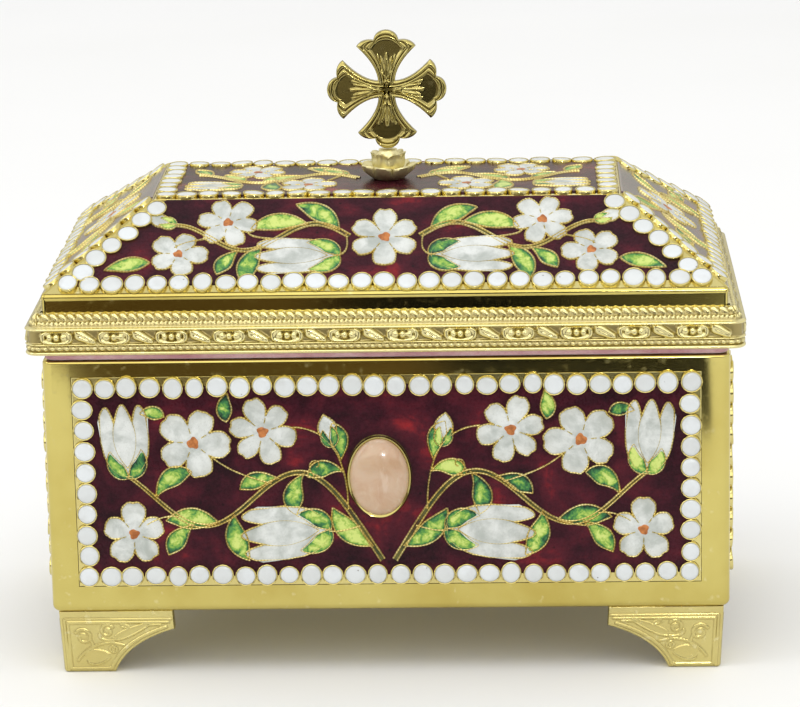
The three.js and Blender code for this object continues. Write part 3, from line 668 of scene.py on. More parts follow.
def bandFrieze(along, pitch, height):
    # One repeat: a long rounded ring round three balls, then a broad strap that swings down between sunken
    # triangles. along runs from the ring's middle; height is measured from the frieze's middle.
    x, y = repeated(along, pitch), along % pitch - pitch / 2
    ring = ((np.abs(x) / band["ringLong"]) ** 3 + (np.abs(height) / band["ringHigh"]) ** 3) ** (1 / 3)
    hoop = ridge((ring - 0.84) * np.where(np.abs(x) > 2.6, 2.6, 1.6), band["ringRib"], 0.85)
    away = np.minimum.reduce([np.hypot(x - shift * band["ballPitch"], height * 0.82) for shift in (-1, 0, 1)])
    strap = (height + 1.2 * np.tanh(y * 0.8) - 0.3 * np.sin(y * 1.4)) * 0.71
    body = ridge(strap, band["strap"] * np.clip(1.05 - y * 0.16, 0.5, 1.3), 0.95)
    body = body * smooth((2.9 - np.abs(y)) / 0.8)
    body = body - 0.22 * ridge(strap + 0.1, 0.2, 1) * smooth((1.9 - np.abs(y)) / 0.8)
    relief = np.maximum.reduce([hoop, ridge(away, band["ball"], 1.05), np.where(ring > 1.0, body, 0)])
    return np.maximum(relief, ridge(np.abs(height) - 1.76, 0.3, 0.3))


def bandCord(along, height):
    # An upper row of plump knots, each leaning into the next, and a lower row of smaller ones between them.
    x = repeated(along + height * 0.8, band["cordPitch"])
    y = (along - height * 0.5) % (band["cordPitch"] / 2) - band["cordPitch"] / 4
    knots = ridge(np.hypot(x / 0.96, (height - 0.62) / 0.78), 1, 0.75)
    return np.maximum(knots, ridge(np.hypot(y / 0.48, (height + 0.72) / 0.5), 1, 0.55))


def bandPearls(along, height):
    x = repeated(along, band["pearlPitch"])
    between = np.hypot(np.abs(x) - band["pearlPitch"] / 2, height)
    return np.maximum(ridge(np.hypot(x, height), band["pearl"], 0.55), ridge(between, 0.26, 0.25))


def stampedBand():
    # The profile carried round the lid; its ornament lifts the metal outwards by a height map.
    halves = [band["halfX"] - band["corner"], band["halfY"] - band["corner"]]
    marks = [np.linspace(-half, half, int(round(half * 2 / step)))[1:-1]
             for half, step in zip(halves, (band["step"], band["farStep"]))]
    columns = turnColumns(list(marks[0]), list(marks[1]), band["arcSteps"])
    levels = [(box["halfX"] + out, box["halfY"] + out, max(band["corner"] - 3.5 + out, 0.15), z)
              for out, z, _ in bandProfile]
    points = turned(levels, columns)
    kind = np.array([name for _, _, name in bandProfile])
    height = np.array([z for _, z, _ in bandProfile])[:, None]
    frieze, cord, pearls = kind == "frieze", kind == "cord", kind == "pearls"
    relief = np.zeros(points.shape[:2])
    first = 0
    for side in range(4):
        half, motifs = halves[side % 2], band["motifs"][side % 2]
        arc = np.linspace(-band["corner"] * math.pi / 2, 0, band["arcSteps"]) - half
        along = np.concatenate([arc, marks[side % 2]]) + half
        here = slice(first, first + len(along))
        first += len(along)
        pitch = 2 * half / motifs
        straight = smooth((along + 0.2) / 0.8) * smooth((2 * half - along + 0.2) / 0.8)
        phase = (along - band["shift"] * pitch) % pitch
        fromMiddle = height[frieze] - band["friezeMiddle"]
        relief[frieze, here] = bandFrieze(phase[None], pitch, fromMiddle) * straight
        relief[cord, here] = bandCord(along[None], height[cord] - band["cordMiddle"])
        relief[pearls, here] = bandPearls(along[None], height[pearls] - band["pearlMiddle"])
    signs, _, bends = columns
    onCorner = np.abs(signs).sum(1) > 1.5
    normal = np.where(onCorner[:, None], bends + signs, signs)
    normal = normal / np.linalg.norm(normal, axis=1, keepdims=True)
    points[..., :2] += (np.where(cord, band["cordOut"], 1.0)[:, None] * relief)[..., None] * normal
    points[..., 2] += np.where(cord, band["cordUp"], 0.0)[:, None] * relief
    # Painted shade: where the relief sinks, the ground of the ornament darkens.
    sunken = np.where(frieze, 0.62, 0.5)[:, None]
    hollowShade = np.clip(1 - relief / sunken, 0, 1) * 0.8 * (kind != "")[:, None]
    return grid(points, {"hollowShade": hollowShade}, roundRows=True, roundColumns=True)


# ---- bracket feet ----
foot = {"long": 28, "high": 15.96, "thick": 3, "leg": 12.5, "end": 4.9, "inset": 1.4, "draft": 0.9,
        "corner": 0.7,
        "columns": 170, "rows": 76, "relief": 0.5, "beside": 0.22}
footLines = [
    # width and height of each raised line, then its kind and where it runs, along the arm and up it
    (0.34, 0.42, "path", [(1.9, 12.9), (1.75, 0.9)]),
    (0.34, 0.42, "path", [(1.9, 12.9), (26.6, 12.9)]),
    (0.30, 0.34, "path", [(1.2, 13.7), (1.05, 0.3)]),
    (0.30, 0.34, "path", [(1.2, 13.7), (27.2, 13.7)]),
    (0.34, 0.42, "path", [(1.75, 0.9), (11.6, 0.9)]),
    (0.42, 0.50, "arch", 1.0),
    (0.36, 0.42, "curl", (5.5, 9.2, 2.15, 2.6, -1)),
    (0.34, 0.42, "curl", (11.4, 10.7, 1.75, 0.6, 1)),
    (0.30, 0.36, "bend", [(3.6, 3.0), (5.6, 6.4), (9.0, 7.4), (12.6, 7.7)]),
    (0.30, 0.36, "bend", [(9.4, 9.8), (9.2, 8.6), (10.6, 8.0), (12.9, 8.3)]),
    (0.30, 0.36, "bend", [(7.2, 8.2), (8.2, 6.2), (7.0, 4.9), (5.6, 4.4)]),
    (0.55, 0.50, "leaf", (8.6, 3.9, 3.1, 1.75, 0.1)),
    (0.45, 0.46, "leaf", (17.6, 10.6, 5.0, 0.85, 0.42)),
    (0.40, 0.40, "leaf", (15.9, 11.9, 1.2, 0.42, -0.35)),
    (0.34, 0.40, "ring", (12.5, 5.9, 0.85)),
    (0.30, 0.34, "bend", [(12.4, 7.6), (14.4, 7.2), (15.2, 6.9)]),
    (0.30, 0.34, "bend", [(20.6, 12.1), (22.4, 12.3), (24.6, 12.2)]),
]


def archHeight(along):
    # The arch's lower edge: zero along the leg, then a quarter bow that flattens towards the tip.
    share = np.clip((along - foot["leg"]) / (foot["long"] - foot["leg"]), 0, 1)
    t = (-0.44 + np.sqrt(0.44 ** 2 + 4 * 0.56 * share)) / (2 * 0.56)
    rise = foot["high"] - foot["end"]
    return 2 * t * (1 - t) * 0.68 * rise + t * t * rise


def footLine(kind, shape, along, up, width, high):
    # The height of one raised line. A path, a bend, an arch and a curl are ribs; a leaf is a rim round a low
    # field; a ring holds a ball, as the eye of a curl does.
    spots = np.stack([along, up], -1)
    if kind == "path":
        return ridge(toPath(spots, np.asarray(shape, float)), width, high)
    if kind == "bend":
        return ridge(toPath(spots, bent(shape)), width, high)
    if kind == "arch":
        run = np.linspace(foot["leg"] - 0.4, foot["long"] - 1.4, 40)
        edge = np.stack([run - 0.75, archHeight(run) + shape], -1)
        return ridge(toPath(spots, np.concatenate([[(11.2, 0.9)], edge])), width, high)
    if kind == "curl":
        x, z, radius, start, way = shape
        share = np.linspace(0, 1, 46)
        spiral = (x, z) + radius * (1 - 0.72 * share)[:, None] * unit(start + way * share * 2.5 * math.pi)
        eye = ridge(np.hypot(along - x, up - z), radius * 0.32, high)
        return np.maximum(ridge(toPath(spots, spiral), width, high), eye)
    if kind == "leaf":
        x, z, half, wide, lean = shape
        a = (along - x) * math.cos(lean) + (up - z) * math.sin(lean)
        b = np.abs((up - z) * math.cos(lean) - (along - x) * math.sin(lean))
        belly = wide * bow(a / half) * (1 - 0.35 * a / half)
        beside = np.abs(a) < half
        field = np.where(beside & (b < belly), 0.4 * high, 0)
        return np.maximum(ridge(np.where(beside, np.abs(b - belly), 9), width * 0.6, high), field)
    x, z, radius = shape
    away = np.hypot(along - x, up - z)
    return np.maximum(ridge(away - radius, width * 0.8, high), ridge(away, radius * 0.55, high))


def footRelief(along, up, wider=0.0):
    # All the lines together; wider widens each, to find the strip that lies beside it.
    lines = [footLine(kind, shape, along, up, width + wider, high) for width, high, kind, shape in footLines]
    return np.maximum.reduce(lines)


def bracketFoot(signX, signY):
    # An L in plan, swept up from its arched lower edge; the relief stands on both outer faces. The section is
    # one loop, outer face up, inner face down, and the tips close on the middle of the metal.
    fine = 1 if signY < 0 else 0.6
    count, rows = int(foot["columns"] * fine), int(foot["rows"] * fine)
    long, high, thick, radius = foot["long"], foot["high"], foot["thick"], foot["corner"]
    straight = np.concatenate([np.linspace(radius, 26.4, count - 8), np.linspace(26.5, long, 8)])
    arc = np.linspace(0, math.pi / 2, 7)[1:-1]
    armX = np.concatenate([straight[::-1], radius * (1 - np.sin(arc)), np.zeros(count)])
    armY = np.concatenate([np.zeros(count), radius * (1 - np.cos(arc)), straight])
    along = np.maximum(armX, armY)
    low = archHeight(along)[:, None]
    up = low + (high - low) * np.linspace(0, 1, rows) ** 0.92
    far = np.broadcast_to(along[:, None], up.shape)
    relief = footRelief(far, up) * foot["relief"]
    edge = np.minimum.reduce([(up - low) / 0.5, (high - up) / 0.3, (long - far) / 0.3])
    skin = relief - 0.35 * (1 - bow(1 - np.clip(edge, 0, 1)))
    onCorner = (armX < radius) & (armY < radius)
    flatWay = np.where((armY > armX)[:, None], (-1.0, 0.0), (0.0, -1.0))
    way = np.where(onCorner[:, None], -unit(np.arctan2(radius - armY, radius - armX)), flatWay)
    plan = np.stack([armX, armY], -1)[:, None] + skin[..., None] * way[:, None]
    outer = np.concatenate([plan, up[..., None]], -1)
    inside = np.broadcast_to(np.maximum(np.stack([armX, armY], -1), thick)[:, None], plan.shape)
    inner = np.concatenate([inside, up[..., None]], -1)
    some = [rows - 1, 2 * rows // 3, rows // 3, 0]
    middle = (outer + inner) / 2
    ends = [np.concatenate([middle[k], middle[k][some]])[None] for k in (0, -1)]
    points = np.concatenate([ends[0], np.concatenate([outer, inner[:, some]], 1), ends[1]])
    # Painted shade: a darker strip in the ground beside each raised line.
    beside = np.clip(footRelief(far, up, foot["beside"]) / 0.1, 0, 1)
    hollowShade = np.clip(1 - relief / 0.1, 0, 1) * beside * 0.42
    hollowShade = np.pad(np.pad(hollowShade, ((1, 1), (0, 0)), mode="edge"), ((0, 0), (0, len(some))))
    points[..., :2] += foot["draft"] * (1 - points[..., 2:] / high)
    half = np.array([box["halfX"], box["halfY"]]) - foot["inset"]
    points[..., :2] = (half - points[..., :2]) * (signX, signY)
    return grid(points, {"hollowShade": hollowShade}, roundColumns=True)


# ---- the finial ----
cross = {"middle": 136, "reach": 14.8, "waist": 2.1, "corner": 10.8, "flare": 7.3, "thick": 2.2, "deep": 0.55,
         "steps": 9, "rings": 26}
crossRim = [
    # how far inside the outline, the height above half the thickness, and how much painted shade it gets
    (0, -0.5, 0.3), (0.06, -0.3, 0.1), (0.25, -0.1, 0), (0.55, 0.06, 0), (0.8, 0.02, 0.2), (1.0, -0.12, 0.6),
    (1.15, -0.34, 1), (1.4, -0.10, 0), (1.6, -0.08, 0), (1.85, -0.4, 0.7), (2.1, -cross["deep"], 0.5),
]


def crossEdge(inset):
    # One turn round the cross, drawn inset millimetres inside its outline: each arm is six bows.
    waist, flare = max(cross["waist"] - inset * 0.9, 0.35), cross["flare"] - 1.7 * inset
    corner, reach = cross["corner"] - 0.3 * inset, cross["reach"] - inset
    notchX, notchY = corner + 1.5, 3.1 - 0.3 * inset
    half = [((waist, -waist), (0.57 * corner, -waist - 0.2), (corner, -flare)),
            ((corner, -flare), (corner + 2, 1.4 - flare), (notchX, -notchY)),
            ((notchX, -notchY), (reach - 0.2, -0.86 * notchY), (reach, 0))]
    curves = half + [[(x, -y) for x, y in reversed(curve)] for curve in reversed(half)]
    arm = np.concatenate([bent(curve, cross["steps"] + 1)[:-1] for curve in curves])
    corners = np.radians([0, 90, 180, 270])
    return np.concatenate([arm @ np.array([unit(a), unit(a + math.pi / 2)]) for a in corners])


def crossRelief(x, y):
    # The sunken field of each arm: a palmette of five blades from the waist, and a boss of small pearls.
    wide, high = np.abs(x), np.abs(y)
    far, away = np.maximum(wide, high), np.hypot(x, y)
    angle = np.arctan2(np.minimum(wide, high), far) * np.sign(x * y)
    lines = []
    for lean, start, end in ((0, 2.4, 9.0), (0.16, 2.8, 8.0), (-0.16, 2.8, 8.0),
                             (0.34, 3.2, 6.6), (-0.34, 3.2, 6.6)):
        beside = np.abs(angle - lean * smooth((away - 1.5) / 4)) * away
        belly = 0.42 * bow((away - (start + end) / 2) / ((end - start) / 2))
        lines.append(np.where(belly > 0.02, ridge(beside, np.maximum(belly, 0.02), 0.42), 0))
    tulip = np.abs(np.abs(angle) * away - (0.5 + 0.30 * np.clip(away - 3, 0, 9)))
    lines.append(ridge(tulip, 0.26, 0.26) * (away > 3.4) * (away < 8.6))
    lines.append(ridge(np.hypot(wide - 0.75, high - 0.75), 0.62, 0.85))
    lines.append(ridge(away - 1.9, 0.3, 0.35) * (far < 2.6))
    return np.maximum.reduce(lines)


def castCross():
    # Both faces alike: a round-backed rim round each arm, a sunken field with its palmette, and a thin edge
    # between the faces. A ring of points runs round the outline; each next ring lies further in.
    half = cross["thick"] / 2
    rings, hollowShade = [], []
    for inset, lift, dark in crossRim:
        edge = crossEdge(inset)
        rings.append(np.insert(edge, 2, half + lift, axis=1))
        hollowShade.append(np.full(len(edge), dark))
    for share in np.linspace(1, 0, cross["rings"])[1:]:
        spot = edge * share
        relief = crossRelief(spot[:, 0], spot[:, 1])
        rings.append(np.insert(spot, 2, half - cross["deep"] + relief, axis=1))
        # Painted shade: the field darkens where it lies below its palmette.
        hollowShade.append(np.clip(1 - relief / 0.3, 0, 1) * 0.5)
    front, hollowShade = np.array(rings), np.array(hollowShade)
    front[-1, :, 2] = front[-1, :, 2].mean()
    skin = np.concatenate([front[::-1] * (1, 1, -1), front])
    points = np.stack([skin[..., 0], -skin[..., 2], skin[..., 1] + cross["middle"]], -1)
    return grid(points, {"hollowShade": np.concatenate([hollowShade[::-1], hollowShade])}, roundColumns=True)


bud = {"calyx": 6.9, "petals": 7, "radius": 4.2, "collar": 2.3, "top": 7.5, "lift": 0.3}


def petalledBud():
    # A dish of curling petals, a rounded bud with a jagged rim above it, and the stump that holds the cross.
    # Each is a profile turned about the middle; its radius and height swell once for every petal.
    steps = 16 * bud["petals"]
    angle = fullTurn(steps)[None]
    lobe = np.abs(np.cos(angle * bud["petals"] / 2)) ** 0.7
    jag = np.abs(np.cos(angle * 3.5 + 0.6)) ** 0.6
    reach, radius, collar, top = bud["calyx"], bud["radius"], bud["collar"], bud["top"]
    dish = [(0, 0.05), (3.4, 0.05), (4.3, 0.5), (5.4, 1.3), (6.5, 2.1), (reach, 3.0), (reach + 0.15, 3.5),
            (reach - 0.15, 3.75), (6.3, 3.45), (5.6, 2.9), (4.8, 2.7), (3.6, 2.9), (0, 3.0)]
    spread = np.array([0, 0, 0.1, 0.4, 0.8, 1, 1, 1, 0.9, 0.6, 0.3, 0.1, 0])[:, None]
    calyx = lathe(dish, steps, 1 - 0.24 * spread * (1 - lobe))
    calyx[..., 2] += spread * (0.55 * lobe - 0.35) + 0.18 * spread * np.cos(3 * angle + 0.7)
    body = [(0, 2.6), (3.2, 2.6), (4.0, 3.2), (radius + 0.1, 4.2), (radius, 5.1), (radius + 0.15, 5.7),
            (radius + 0.35, 6.2), (radius - 0.1, 6.25), (radius - 0.8, 5.9), (3.0, 6.1), (2.6, 6.6),
            (collar, 7.1), (collar, top - 0.1), (collar - 0.25, top), (0, top)]
    ruffle = np.array([0, 0, 0.1, 0.3, 0.6, 0.9, 1, 1, 0.7, 0.2, 0, 0, 0, 0, 0])[:, None]
    lobed = np.array([0] * 2 + [1] * 8 + [0] * 5)[:, None]
    bloom = lathe(body, steps, 1 - 0.12 * ruffle * (1 - jag) - 0.05 * lobed * (1 - lobe))
    bloom[..., 2] += ruffle * (0.9 * jag - 0.4) + 0.22 * ruffle * np.sin(2 * angle + 1.1)
    # Painted shade between the petals, where the lobes draw in.
    parts = [grid(wall, {"hollowShade": np.clip(share * (1 - lobe), 0, 1) * 0.5}, roundColumns=True)
             for wall, share in ((calyx, spread), (bloom, ruffle))]
    points, quads, kept = gathered(parts)
    return points + (0, 0, lid["top"] + bud["lift"]), quads, kept


# ---- bead cups, their beads and the plaques ----
bead = {"outer": 2.64, "glass": 2.32, "high": 1.02, "steps": 16, "spread": 0.04, "squash": 0.032,
        "slip": 0.14,
        "tilt": 0.03, "sink": 0.05}


def beadSpots(face):
    # The middles of the bead cups: evenly spaced along each side of the bead line that carries them.
    spots = []
    for corner, ahead, count in zip(face["corners"], np.roll(face["corners"], -1, axis=0), face["beads"]):
        share = np.linspace(0, 1, count)[:, None]
        spots.append(corner * (1 - share) + ahead * share)
    spots = np.concatenate(spots)
    return spots[np.sort(np.unique(np.round(spots, 2), axis=0, return_index=True)[1])]


def beadSet(face):
    # Every cup and every bead of a face, each a little uneven: its size, its place, its tilt.
    spots = beadSpots(face)
    count = len(spots)
    r, g, high = bead["outer"], bead["glass"], bead["high"]
    cup = lathe([(0, -0.15), (r, -0.15), (r, high - 0.26), (r - 0.07, high - 0.06), (r - 0.18, high),
                 (g + 0.02, high - 0.06), (g, high - 0.5), (0, high - 0.5)], bead["steps"])
    glass = lathe([(0, high - 0.62), (g + 0.05, high - 0.62), (g, high - 0.22), (g - 0.25, high - 0.08),
                   (g * 0.55, high - 0.01), (0, high + 0.01)], bead["steps"])
    size = 1 + chance.normal(0, bead["spread"], (count, 1, 1))
    squash = 1 + chance.normal(0, bead["squash"], (count, 1, 1))
    slip = chance.normal(0, bead["slip"], (count, 1, 1, 2))
    tilt = chance.normal(0, bead["tilt"], (count, 1, 1, 2))
    sink = chance.normal(0, bead["sink"], (count, 1, 1))

    def scattered(shape):
        flat = shape[..., :2] * np.stack([size * squash, size / squash], -1)
        z = shape[..., 2]
        up = z + (flat * tilt).sum(-1) * (z > 0) + sink * (z > 0.3)
        return np.concatenate([flat + slip + spots[:, None, None], up[..., None]], -1)

    own = chance.random(count)
    edge = np.array([0, 1, 1, 0.8, 0.4, 0])
    cups = [grid(points, {"hollowShade": np.zeros(points.shape[:2])}, roundColumns=True)
            for points in scattered(cup)]
    glasses = []
    for points, tone in zip(scattered(glass), own):
        cell = np.zeros(points.shape[:2] + (4,))
        cell[..., 1], cell[..., 2], cell[..., 3] = edge[:, None], tone, 1
        glasses.append(grid(points, {"cell": cell}, roundColumns=True))
    return cups, glasses


def platePart(face):
    # The plaque's gold plate: its outline, softened along the upper edge.
    margin, edge, lift = plate["margin"] + plate["overlap"], plate["edge"], plate["lift"]
    middle = face["corners"] * 0.5 + face["corners"].mean(0) * 0.5
    rings = [np.insert(middle, 2, -plate["thick"], axis=1)]
    for out, z in ((margin, -plate["thick"]), (margin, -edge), (margin - edge * 0.3, -edge * 0.3),
                   (margin - edge, lift), (margin - edge - 0.15, lift)):
        rings.append(np.insert(grown(face["corners"], out), 2, z, axis=1))
    rings.append(np.insert(middle, 2, lift, axis=1))
    return closedTurns(np.array(rings), {"hollowShade": np.zeros((len(rings), 4))})


ground = {"high": 0.42, "swell": 0.03, "steps": 70, "beyond": 0.25, "farBeyond": 2.85}


def groundPart(face):
    # The enamel field: a thin sheet of glass up to the bead line that swells a little between its edges.
    # Where no beads run along the upper side it reaches further, to the plate's edge.
    beyond, steps = ground["beyond"], ground["steps"]
    farther = beyond if face["beads"][2] else ground["farBeyond"]
    corners = grown(face["corners"], [beyond, beyond, farther, beyond])
    rimX, rimY = 0.006, 0.015

    def spaced(rim, between, count):
        edge = np.array([0, between, rim])
        return np.concatenate([edge, np.linspace(rim * 2, 1 - rim * 2, count), 1 - edge[::-1]])

    across, up = spaced(rimX, 0.002, steps)[:, None, None], spaced(rimY, 0.006, steps // 2)[None, :, None]
    lower, upper = (corners[a] * (1 - across) + corners[b] * across for a, b in ((0, 1), (3, 2)))
    flat = lower * (1 - up) + upper * up
    rim = np.minimum(np.minimum(across, 1 - across) / rimX, np.minimum(up, 1 - up) / rimY)[..., 0].clip(0, 1)
    x, y = flat[..., 0], flat[..., 1]
    swell = np.sin(x * 0.31 + 1.3 * np.sin(y * 0.23)) + np.sin(y * 0.47 + 0.8 * np.sin(x * 0.19))
    z = ground["high"] * bow(1 - rim) + ground["swell"] * swell * rim
    top = np.concatenate([flat, np.maximum(z, 0.03)[..., None]], -1)
    return solidGrid(top, top * (1, 1, 0))


# ---- the stone ----
stone = {"halfX": 7.25, "halfZ": 9.75, "rise": 3.2, "x": -1.9, "y": 1.0, "steps": 72, "bezel": 0.55,
         "bezelHigh": 1.25}


def ovalRings(reachX, reachY, heights):
    # Turns of the stone's oval, given the reach and the height of each.
    x, y = (np.reshape(reach, (-1, 1)) for reach in (reachX, reachY))
    flat = np.stack([x, y], -1) * unit(fullTurn(stone["steps"])) + (stone["x"], stone["y"])
    return np.concatenate([flat, np.broadcast_to(np.reshape(heights, (-1, 1, 1)), flat.shape[:2] + (1,))], -1)


def cabochonStone():
    # A dome: its height falls off as the square root of 1 minus the share of the way out, squared.
    share = np.sin(np.linspace(0, math.pi / 2, 22))[::-1]
    heights = 0.3 + stone["rise"] * np.sqrt(np.clip(1 - share ** 2.2, 0, 1)) ** 0.9
    dome = ovalRings(share * stone["halfX"], share * stone["halfZ"], heights)
    return closedTurns(np.concatenate([dome[:1] * (1, 1, 0) + (0, 0, 0.02), dome]))


def bezelRing():
    # A profile of (outwards from the stone's edge, height) carried round the stone.
    b, high = stone["bezel"], stone["bezelHigh"]
    profile = [(0.12, -0.2), (b + 0.25, -0.2), (b + 0.25, 0.35), (b, 0.5), (b - 0.05, high - 0.2),
               (b * 0.6, high + 0.08), (0, high), (-0.22, high - 0.15), (0.08, 0.4)]
    out, heights = np.array(profile).T
    points = ovalRings(stone["halfX"] + out, stone["halfZ"] + out, heights)
    return grid(points, {"hollowShade": np.zeros(points.shape[:2])}, roundRows=True, roundColumns=True)


# ---- the pictures: cells of coloured glass between gold wires ----
picture = {"wire": 0.58, "wireHigh": 0.80, "leaf": 0.58, "petal": 0.66, "heart": 0.78, "stem": 0.52,
           "step": 0.5,
           "rib": 0.4, "stemWide": 1.15, "stemNarrow": 0.7}


def evenly(path, step):
    # The same path with its points a step apart, and the length run at each.
    run = np.concatenate([[0], np.cumsum(np.linalg.norm(np.diff(path, axis=0), axis=1))])
    even = np.linspace(0, run[-1], max(int(run[-1] / step), 3) + 1)
    return np.stack([np.interp(even, run, path[:, 0]), np.interp(even, run, path[:, 1])], 1), even


def sideways(path, closed=False):
    # The unit vector to the left of the path at each point.
    ahead = np.roll(path, -1, axis=0) - np.roll(path, 1, axis=0) if closed else np.gradient(path, axis=0)
    ahead = ahead / np.maximum(np.linalg.norm(ahead, axis=1, keepdims=True), 1e-9)
    return np.stack([-ahead[:, 1], ahead[:, 0]], 1)


def bowed(root, aim, length, bend, count=15):
    # A line that sets out at aim degrees and turns evenly through bend degrees.
    share = np.linspace(0, 1, count)
    steps = unit(np.radians(aim + bend * (share - 0.5 / (count - 1)))) * length / (count - 1)
    return np.asarray(root, float) + np.concatenate([[(0, 0)], np.cumsum(steps[1:], axis=0)])


def wavedVine(start, end, waves, lag, swing, middle, rootY=None):
    # A sine across the panel; with rootY it is pulled to that height at its root by (1 - share)^5.
    share = np.linspace(0, 1, 120)
    wave = middle + swing * np.sin(2 * math.pi * waves * share - lag)
    pull = 0 if rootY is None else (rootY - wave[0]) * (1 - share) ** 5
    return np.stack([start + (end - start) * share, wave + pull], 1)


def spotOn(path, share):
    # A point on a path and the path's direction there, in degrees.
    at = share * (len(path) - 1)
    low = min(int(at), len(path) - 2)
    step = path[low + 1] - path[low]
    return path[low] + step * (at - low), math.degrees(math.atan2(step[1], step[0]))


class Drawing:
    # The cells and wires of one plaque, in its own plane; way is -1 where a motif is drawn mirrored.
    def __init__(self):
        self.cells = {"leaf": [], "petal": [], "heart": [], "stem": []}
        self.wires = []
        self.way = 1

    def vines(self, *settings, **more):
        # The vine of each half of the plaque in turn, its stem drawn; what follows goes to that half.
        for self.way in (1, -1):
            path = wavedVine(*settings, **more)
            self.stem(path)
            yield path
        self.way = 1

    def strip(self, kind, left, right, high, across=7):
        # A cell between two edges, row by row: its glass swells a little in the middle and closes beneath.
        share = np.linspace(-1, 1, across)[None, :, None]
        flat = left[:, None] * (1 - share) / 2 + right[:, None] * (1 + share) / 2
        wide = np.linalg.norm(left - right, axis=1)
        swell = (1 - share[..., 0] ** 2) * 0.16 * np.clip(wide / 2.5, 0, 1)[:, None]
        top = np.concatenate([flat, (high - 0.1 + swell)[..., None]], -1)
        under = np.concatenate([top[:, -1:], top[:, :1]], 1) * (1, 1, 0) - (0, 0, 0.1)
        along = np.linspace(0, 1, len(left))[:, None]
        rim = np.abs(np.concatenate([share[0, :, 0], [1, 1]]))[None]
        self.keep(kind, np.concatenate([top, under], 1), along, rim)

    def keep(self, kind, points, along, across):
        cell = np.ones(points.shape[:2] + (4,))
        cell[..., 0], cell[..., 1], cell[..., 2] = along, across, chance.random()
        self.cells[kind].append(grid(points * (self.way, 1, 1), {"cell": cell}, roundColumns=True))

    def wire(self, path, closed=False, width=None, high=None):
        path = np.asarray(path, float)
        if closed:
            path = np.concatenate([path, path[:1]])
        path, run = evenly(path, picture["step"])
        if closed:
            path, run = path[:-1], run[:-1]
        half, top = (width or picture["wire"]) / 2, high or picture["wireHigh"]
        wobble = 1 + 0.10 * np.sin(run * 1.9 + chance.random() * 6)[:, None]
        section = np.array([-1, -0.86, 0, 0.86, 1]) * half * wobble
        side = sideways(path, closed)[:, None] * section[..., None]
        up = np.broadcast_to(np.array([-0.1, top * 0.72, top, top * 0.72, -0.1]), side.shape[:2])
        points = np.concatenate([path[:, None] + side, up[..., None]], -1)
        if not closed:
            ends = [np.broadcast_to(np.append(path[k], 0.2), points[:1].shape) for k in (0, -1)]
            points, run = np.concatenate([ends[0], points, ends[1]]), np.pad(run, 1, mode="edge")
        kept = {"run": np.broadcast_to(run[:, None], points.shape[:2])}
        self.wires.append(grid(points * (self.way, 1, 1), kept, roundRows=closed, roundColumns=True))

    def twig(self, path, share, *handles):
        # A wire that leaves a path and bends towards the last handle.
        self.wire(bent([spotOn(path, share)[0], *handles]))

    def blade(self, kind, root, aim, length, width, bend=0, belly=0.42, high=None, rib=False):
        # A leaf or petal: half width = width / 2 * sin(pi * share^p), widest at belly.
        aim = aim + chance.normal(0, 2.5)
        length = length * (1 + chance.normal(0, 0.03))
        line = bowed(root, aim, length, bend)
        share = np.linspace(0, 1, len(line))[:, None]
        power = math.log(0.5) / math.log(belly)
        reach = sideways(line) * width / 2 * np.sin(math.pi * share ** power)
        self.strip(kind, line + reach, line - reach, high or picture[kind])
        self.wire(np.concatenate([line + reach, (line - reach)[-2:0:-1]]), closed=True)
        if rib:
            self.wire(line[1:-2], width=picture["rib"], high=picture["wireHigh"] - 0.04)

    def disc(self, kind, centre, edge, high, dip=0.0, crease=1):
        # A round cell: edge is its radius at each angle; dip lowers its middle, crease lowers set angles.
        share = np.array([0, 0.18, 0.4, 0.62, 0.82, 0.95, 1])[:, None]
        up = high - 0.12 + 0.12 * (1 - share ** 4) * crease - dip * (1 - share) ** 2 + 0 * edge
        flat = centre + (share * edge)[..., None] * unit(fullTurn(len(edge)))
        top = np.concatenate([flat, up[..., None]], -1)
        under = top[-1:] * (1, 1, 0) - (0, 0, 0.1)
        points = np.concatenate([top, under, np.broadcast_to((*centre, -0.1), under.shape)])
        share = np.concatenate([share, [[1], [1]]])
        self.keep(kind, points, share, share)

    def blossom(self, centre, radius, petals=6, turn=0):
        # Round petals: the edge swells and dips once for each, as |cos|^0.52; a wire runs in from every dip.
        centre = np.asarray(centre, float)
        angle = fullTurn(20 * petals)
        part = (angle - math.radians(turn)) * petals / 2
        lobe = np.abs(np.cos(part))
        which = np.floor(part / math.pi + 0.5) % petals
        uneven = 1 + 0.05 * np.sin(which * 2.4 + turn) + 0.015 * np.sin(angle * 23)
        edge = radius * (0.44 + 0.56 * lobe ** 0.52 - 0.05 * lobe ** 16) * uneven
        self.disc("petal", centre, edge, picture["petal"] + 0.06, dip=0.12, crease=0.15 + 0.85 * lobe ** 0.5)
        self.wire(centre + edge[:, None] * unit(angle), closed=True)
        for k in range(petals):
            ray = unit(math.radians(turn + (k + 0.5) * 360 / petals))
            self.wire([centre + ray * radius * 0.27, centre + ray * radius * 0.42], width=picture["rib"])
        ring = fullTurn(24)
        heart = radius * 0.155 * (1 + 0.14 * np.sin(ring * 3 + turn) + 0.08 * np.sin(ring * 5))
        self.disc("heart", centre, heart, picture["heart"])

    def tulip(self, root, aim, length, wide=0.68):
